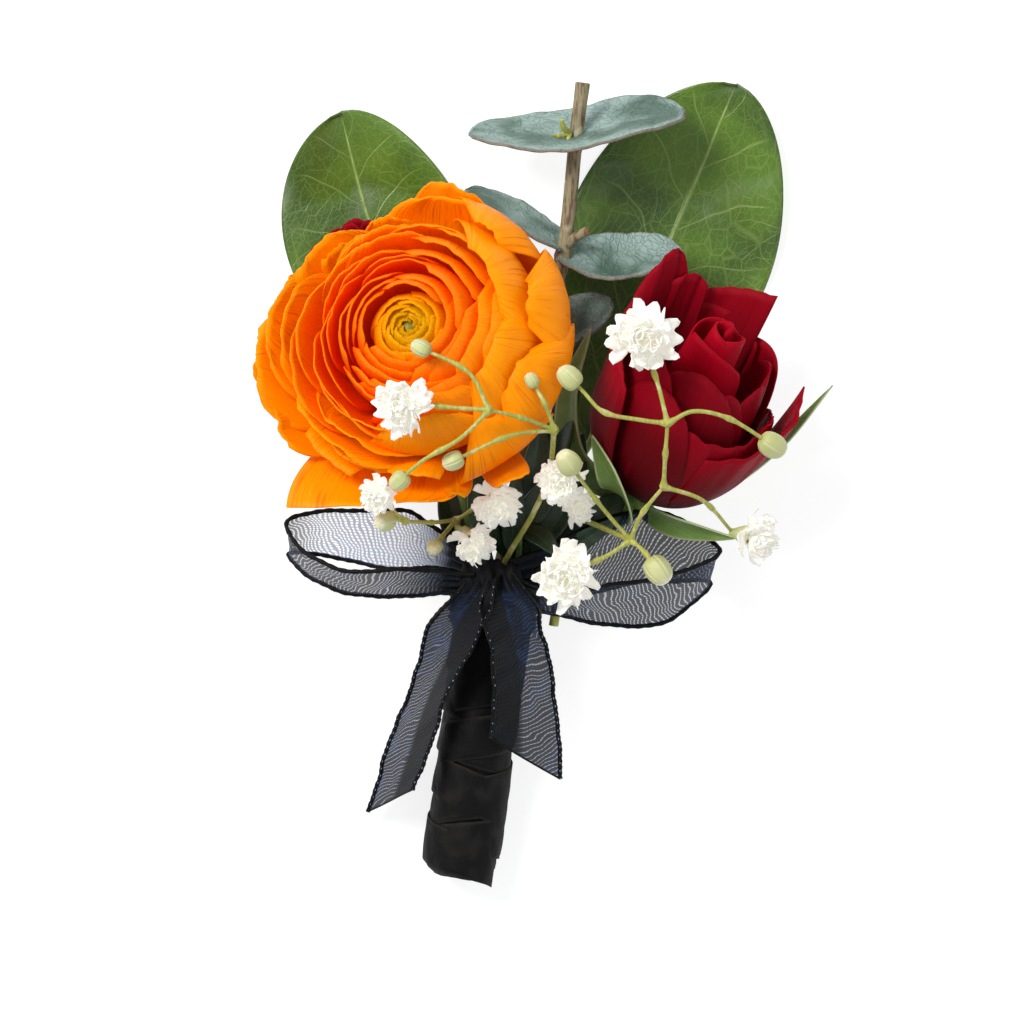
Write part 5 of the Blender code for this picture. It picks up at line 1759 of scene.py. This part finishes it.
@dataclass
class Strip:
    """A length of ribbon: a centre line, and the direction of its width on the way."""

    path: Path
    across: Path
    pinch: tuple[float, float] = (0.35, 0.35)
    slant: float = 0.0
    flutter: float = 0.35
    front: float = 0.78
    back: float = 0.8
    inner: float = 0.0
    width: float = 12.7
    seed: float = 0.0
    rows: int = 120
    columns: int = 28

    def cover(self) -> np.ndarray:
        """How thickly the threads are drawn: less on the layer behind, which stands for light through it, and
        more on the inner side, which leaves a painted highlight on the outer side.
        """
        u, v = lattice(self.rows + 1, self.columns + 1)
        cover = self.front + (self.back - self.front) * smooth(u, 0.46, 0.62)
        return cover + 0.11 * smooth(self.inner * v, -0.02, 0.24)

    def grid(self, sides: np.ndarray | None = None) -> tuple[np.ndarray, np.ndarray, np.ndarray]:
        """The ribbon's points, its (across, along) in millimetres, and how gathered it is."""
        v_line = np.linspace(-1, 1, self.columns + 1) if sides is None else sides
        u, v = np.meshgrid(np.linspace(0, 1, self.rows + 1), v_line, indexing="ij")
        reach = u * (1 + self.slant * v) / (1 + abs(self.slant))
        start = self.pinch[0] + (1 - self.pinch[0]) * smooth(reach, 0.0, 0.24)
        end = self.pinch[1] + (1 - self.pinch[1]) * smooth(1 - reach, 0.0, 0.24)
        narrow = np.minimum(start, end)
        across = unit(self.across.at(reach))
        normal = unit(np.cross(self.path.heading(reach), across))
        pleat = 0.9 * (1 - narrow) * np.sin(v * 9.5 + self.seed)
        wave = self.flutter * ripple(reach * 16 + 1.5 * v, self.seed) * (0.3 + 0.7 * np.abs(v))
        points = self.path.at(reach) + across * (self.width / 2 * narrow * v)[..., None]
        points = points + normal * (pleat + wave)[..., None]
        uv = np.stack([(v + 1) / 2 * self.width, reach * self.path.length], axis=-1)
        dense = np.clip(1.25 * (1 - narrow) / (1 - min(self.pinch)), 0, 1)
        if self.pinch[1] > 0.9:
            dense = np.maximum(dense, 0.4 * smooth(1 - reach, 0.45, 0.75))
        return points, uv, dense

    def edges(self) -> list[np.ndarray]:
        """The lines along its two edges."""
        points, _, _ = self.grid(np.array((-1.0, 1.0)))
        return [points[:, 0], points[:, 1]]


# The loops and tails of the bow: the centre line of each, and the direction of its width on the way.
STRIPS = {
    "loop_left": Strip(
        Path([
            (-12.0, -15.6, 21.0), (-20.0, -15.4, 19.8), (-30.6, -15.8, 18.4), (-38.4, -13.2, 16.6),
            (-42.0, -8.9, 13.4), (-39.6, -7.7, 10.6), (-31.0, -8.3, 9.6), (-21.0, -9.4, 12.2),
            (-12.4, -13.0, 18.4),
        ]),
        Path([(0.1, 0.6, 0.6), (0.0, 0.26, 0.96), (0.1, 0.78, 0.62), (0.0, 0.74, 0.67), (0.0, 0.8, 0.5)]),
        seed=1.0, back=0.34,
    # Its layer behind is drawn thin and painted pale: painted light through the ribbon.
    ),
    "loop_right": Strip(
        Path([
            (-6.4, -16.2, 20.8), (-2.6, -18.4, 20.2), (5.0, -19.3, 18.8), (14.0, -19.1, 17.4),
            (21.4, -17.6, 15.6), (27.0, -13.4, 13.2), (24.6, -11.8, 10.4), (16.0, -10.0, 10.6),
            (6.4, -11.8, 13.6), (-6.2, -14.2, 18.8),
        ]),
        Path([
            (0.3, 0.6, 0.6), (0.1, 0.42, 0.9), (0.05, 0.56, 0.83), (0.15, 0.62, 0.77), (0.1, 0.42, 0.9),
            (0.2, 0.8, 0.55), (0.22, 0.97, 0.1), (0.2, 0.95, 0.25), (0.1, 0.9, 0.4),
        ], even=True),
        seed=2.6,
    ),
    "tail_left": Strip(
        Path([
            (-10.0, -14.4, 22.4), (-11.8, -17.6, 23.2), (-14.8, -22.4, 19.8), (-16.6, -27.4, 17.8),
            (-19.8, -34.7, 14.4), (-25.9, -52.4, 8.2),
        ]),
        Path([
            (0.9, 0.1, 0.3), (0.7, 0.1, 0.7), (0.55, 0.12, 0.82), (0.56, 0.12, 0.82), (0.54, 0.14, 0.83),
        ], even=True),
        pinch=(0.4, 1.0), slant=-0.03, front=0.87, back=0.87, inner=1.0, seed=4.0,
    ),
    "tail_right": Strip(
        Path([
            (-7.8, -14.6, 22.4), (-6.9, -17.8, 23.2), (-5.6, -22.6, 20.0), (-4.4, -27.4, 18.2),
            (-3.8, -34.0, 16.0), (-3.7, -48.0, 13.0),
        ]),
        Path([
            (0.95, 0.1, 0.2), (0.7, 0.05, -0.7), (0.72, 0.05, -0.7), (0.84, 0.05, -0.54),
            (0.92, 0.05, -0.38),
        ], even=True),
        pinch=(0.4, 1.0), slant=0.12, front=0.86, back=0.86, inner=-1.0, seed=5.3,
    ),
}


@dataclass
class Ribbon:
    """The sheer ribbon: a collar round the neck, the knot, two loops and two tails."""

    knot_centre: Point = (-9.2, -15.4, 20.5)
    # The spacing and size of the pale beads of painted light on the tails.
    hole_step: float = 1.3
    hole_size: float = 0.12

    def lengths(self, tools: Tools) -> None:
        """Builds the loops and tails with their bound edges, and on the tails pale beads of painted light."""
        for key, strip in STRIPS.items():
            points, uv, dense = strip.grid()
            skin = Skin().sheet(points, uv, dense=dense, cover=strip.cover())
            cloth = ride(skin.made(f"bow_{key}", Finishes.ORGANZA), "ribbon", f"ribbon_{key}")
            border, dotted = Stalks(), Stalks()
            for line in strip.edges():
                border.line(line, 0.37 + 0.06 * np.sin(np.arange(len(line)) * 1.9))
                dotted.line(line[8:] + np.array((0.0, 0.0, 0.34)), 0.1)
            if "tail" in key:
                border.line(points[-1], 0.16)
                # Painted light: pale beads along the tail's edges, where light shows through holes.
                runs = dotted.runs(f"bow_{key}_stitches")
                sizes = {"Step": self.hole_step * MM, "Size": self.hole_size * MM}
                ride(tools.stitch.run(runs, Finishes.STITCH, **sizes), "ribbon")
            ride(border.made(f"bow_{key}_edge", tools, Finishes.SELVEDGE, 8), "ribbon")
            length = strip.path.length * MM
            LOG.info("%s is %.1f mm long", cloth.name, length / MM)

    def knot(self) -> None:
        """Builds the knot: the ribbon drawn tight over itself, in pleats."""
        u, turn = lattice(61, 97, 0.0, 2 * math.pi)
        x = -np.cos(math.pi * u)
        ring = np.sin(math.pi * u) ** 0.6
        pleat = 1 + 0.12 * np.sin(
            7.0 * x + 2.6 * np.sin(turn + 0.5)
        ) + 0.07 * np.sin(17 * x + 3.4 * np.cos(turn))
        grid = np.stack(
            [x * 5.0, ring * np.cos(turn) * 3.3 * pleat, ring * np.sin(turn) * 2.6 * pleat], axis=-1
        ) + np.array(self.knot_centre)
        knot = ride(
            Skin().sheet(grid).made("bow_knot", Finishes.GATHERED, weld=WELD), "ribbon", "ribbon_knot"
        )

    def collar(self, stems: Stems) -> None:
        """Builds the collar: the ribbon drawn round the neck, in pleats."""
        top = stems.length + 1.5
        u, turn = lattice(49, 121, 0.0, 2 * math.pi)
        pleat = 0.26 * np.sin(u * 44 + 0.8 * np.sin(3 * turn)) + 0.1 * np.sin(5 * turn + 9 * u)
        radius = 6.95 + pleat
        along = top - 8.0 * u + 0.25 * np.sin(4 * turn)
        skin = Skin().sheet(stems.setting.carry(around(radius, turn, along)))
        collar = ride(skin.made("bow_collar", Finishes.GATHERED, 0.18), "ribbon", "ribbon_band")

    def build(self, tools: Tools, stems: Stems) -> None:
        """Builds the whole ribbon."""
        self.knot()
        self.collar(stems)
        self.lengths(tools)


@dataclass
class Tape:
    """The black tape round the stems: overlapping turns, and laps over them the other way."""

    radius: float = 6.1
    step: float = 0.5
    turns: float = 7.0
    columns: int = 72
    per_turn: int = 9
    rest: float = 0.09
    lap_columns: int = 9
    # Each lap: its start as a share of the handle, its rise in millimetres and its first angle.
    laps: tuple[tuple[float, float, float], ...] = (
        (0.16, 9.0, 200), (0.36, 10.0, 190), (0.55, 9.5, 205), (0.02, 7.0, 215), (0.27, -8.0, 195),
        (0.66, 9.0, 210), (0.12, -7.0, 40),
    )

    def wrapping(self, stems: Stems) -> np.ndarray:
        """The outer skin: turns that each overlap the last, with a lip at the edge."""
        rows = int(self.per_turn * (self.turns + 2)) + 1
        row = np.arange(rows)[:, None]
        share = np.linspace(0, 1, self.columns + 1)[None, :]
        phase = row % self.per_turn / (self.per_turn - 1)
        level = row // self.per_turn + np.minimum(phase, 0.999) + share - 1.5
        lip = self.step * (0.5 - phase) + 0.05 * np.sin(7 * share * 2 * math.pi + row)
        turn = -2 * math.pi * share
        radius = self.radius + lip - 0.25 * (1 - level / self.turns)
        radius = radius + 0.07 * np.sin(3 * turn + 2.1 * level) + 0.05 * np.sin(8 * turn - 3 * level)
        along = np.clip(level / self.turns * stems.length, 0.0, stems.length - 0.3)
        foot = np.clip(1 - along / 2.4, 0, 1)
        radius = radius * (1 - 0.32 * foot**2.2)
        return around(radius, turn, along)

    def crossing(self, stems: Stems, start: float, rise: float, begin: float) -> np.ndarray:
        """A turn laid the other way over the rest.

        Args:
            stems: the handle.
            start: its height at its lower edge, as a share of the handle.
            rise: how far it climbs in its turn, in millimetres.
            begin: the angle where it starts, in degrees.
        """
        u, v = lattice(61, self.lap_columns, 0.0)
        turn = np.radians(begin + 300 * u)
        height = start * stems.length + rise * u + 7.0 * v + 0.25 * np.sin(9 * u)
        radius = self.radius + 0.34 + 0.12 * np.sin(math.pi * v) - 0.45 * (
            smooth(1 - u, 0.9, 1) + smooth(u, 0.9, 1)
        )
        radius = radius - 0.25 * (1 - height / stems.length) + 0.05 * np.sin(12 * turn + 7 * v)
        return around(radius, turn, height)

    def edge(self, grid: np.ndarray) -> np.ndarray | float:
        """How near each point is to an edge of the tape, from 0 to 1."""
        rows, columns = grid.shape[:2]
        if columns == self.lap_columns:
            return np.broadcast_to(np.linspace(-1, 1, columns) ** 4, (rows, columns))
        if columns == self.columns + 1:
            phase = np.arange(rows) % self.per_turn / (self.per_turn - 1)
            return np.broadcast_to(((2 * phase - 1) ** 6)[:, None], (rows, columns))
        return 0.0

    def build(self, stems: Stems) -> None:
        """Builds the wrapping with its folded end, cut flat where it rests."""
        skin = Skin()
        grids = [self.wrapping(stems), *(self.crossing(stems, *lap) for lap in self.laps)]
        end = turned([(4.15, 0.05), (3.0, -0.28), (1.6, -0.12), (0.0, 0.1)], 48)
        end[..., 2] += 0.12 * np.sin(3 * np.arctan2(end[..., 1], end[..., 0]) + 1.0)
        collar = turned([(5.1, stems.length - 3.0), (5.6, stems.length - 0.4), (6.1, stems.length - 0.3)], 48)
        grids += [end, collar]
        for grid in grids:
            placed = stems.setting.carry(grid)
            placed[..., 2] = np.maximum(placed[..., 2], self.rest)
            # The edge numbers drive the painted highlight along the tape's seams.
            skin.sheet(placed, edge=self.edge(grid))
        ride(skin.made("tape_wrapping", Finishes.TAPE, 0.16), "tape", "tape_wrap")


@dataclass
class Studio:
    """The table, the light and the camera."""

    eye: Point = (-5.76, -4.32, 1025.0)
    frame_width: float = 163.84
    floor_glow: float = 0.79
    sensor: float = 36.0
    clip: float = 20.0
    floor_size: float = 2.0
    target: Point = (0.0, 0.0, 0.02)
    # Each light: its name, place in millimetres, side in metres, power in watts and colour.
    lights: tuple[tuple, ...] = (
        ("key", (-420.0, 380.0, 720.0), 0.35, 6.9, (1.0, 0.98, 0.95)),
        ("fill", (520.0, -260.0, 640.0), 0.6, 1.2, (0.95, 0.98, 1.0)),
    )
    focus: float = 1000.0
    sky: Colour = (0.95, 0.97, 1.0, 1.0)
    sky_strength: float = 0.42

    def camera(self) -> None:
        """Looks straight down, with the photograph's frame at the blooms' height."""
        lens = bpy.data.cameras.new("camera")
        lens.sensor_width = self.sensor
        lens.lens = self.sensor * self.focus / self.frame_width
        lens.clip_end = self.clip
        made = linked("camera", lens)
        made.location = on_row(self.eye)
        bpy.context.scene.camera = made

    def light(self, name: str, place: Point, size: float, power: float, tint: Point) -> None:
        """An area light that looks at the bunch.

        Args:
            name: its name.
            place: where it stands, in millimetres.
            size: its side, in metres.
            power: its power, in watts.
            tint: its colour.
        """
        lamp = bpy.data.lights.new(name, "AREA")
        lamp.size, lamp.energy, lamp.color = size, power, tint
        made = linked(name, lamp)
        made.location = Vector(place) * MM
        aim = Vector(self.target) - made.location
        made.rotation_euler = aim.to_track_quat("-Z", "Y").to_euler()

    def floor(self) -> None:
        """The pale table top."""
        mesh = bpy.data.meshes.new("table_top")
        bm = bmesh.new()
        bmesh.ops.create_grid(bm, x_segments=8, y_segments=8, size=self.floor_size)
        bm.to_mesh(mesh)
        bm.free()
        mesh.materials.append(FloorFinish("table_top", rgb("A6A6A6"), self.floor_glow).material())
        linked("table_top", mesh)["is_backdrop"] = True

    def world(self) -> None:
        """Even white light from all round."""
        made = bpy.data.worlds.new("studio")
        made.use_nodes = True
        sky = made.node_tree.nodes["Background"]
        sky.inputs["Color"].default_value = self.sky
        sky.inputs["Strength"].default_value = self.sky_strength
        bpy.context.scene.world = made

    def build(self) -> None:
        """Sets up the studio."""
        self.floor()
        self.world()
        for lamp in self.lights:
            self.light(*lamp)
        self.camera()
        bpy.context.scene.view_settings.view_transform = "Standard"


def write_sizes(before: tuple[Vector, Vector], after: tuple[Vector, Vector]) -> None:
    """Gathers the box of the solids and the box of what shows, and keeps neither."""
    named = {"cad": before, "visual": after}
    {key: [list(corner) for corner in box] for key, box in named.items()}


def main() -> None:
    """Loads the solids, builds every piece on them and sets up the studio."""
    logging.basicConfig(level=logging.INFO, format="%(message)s")
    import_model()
    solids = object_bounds()
    tools, stems = Tools(), Stems()
    Tape().build(stems)
    Ranunculus().build(tools, stems)
    Roses().build(tools, stems)
    Foliage().build(tools, stems)
    Gypsophila().build(tools, stems)
    Ribbon().build(tools, stems)
    Studio().build()
    write_sizes(solids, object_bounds())


if __name__ == "__main__":
    main()
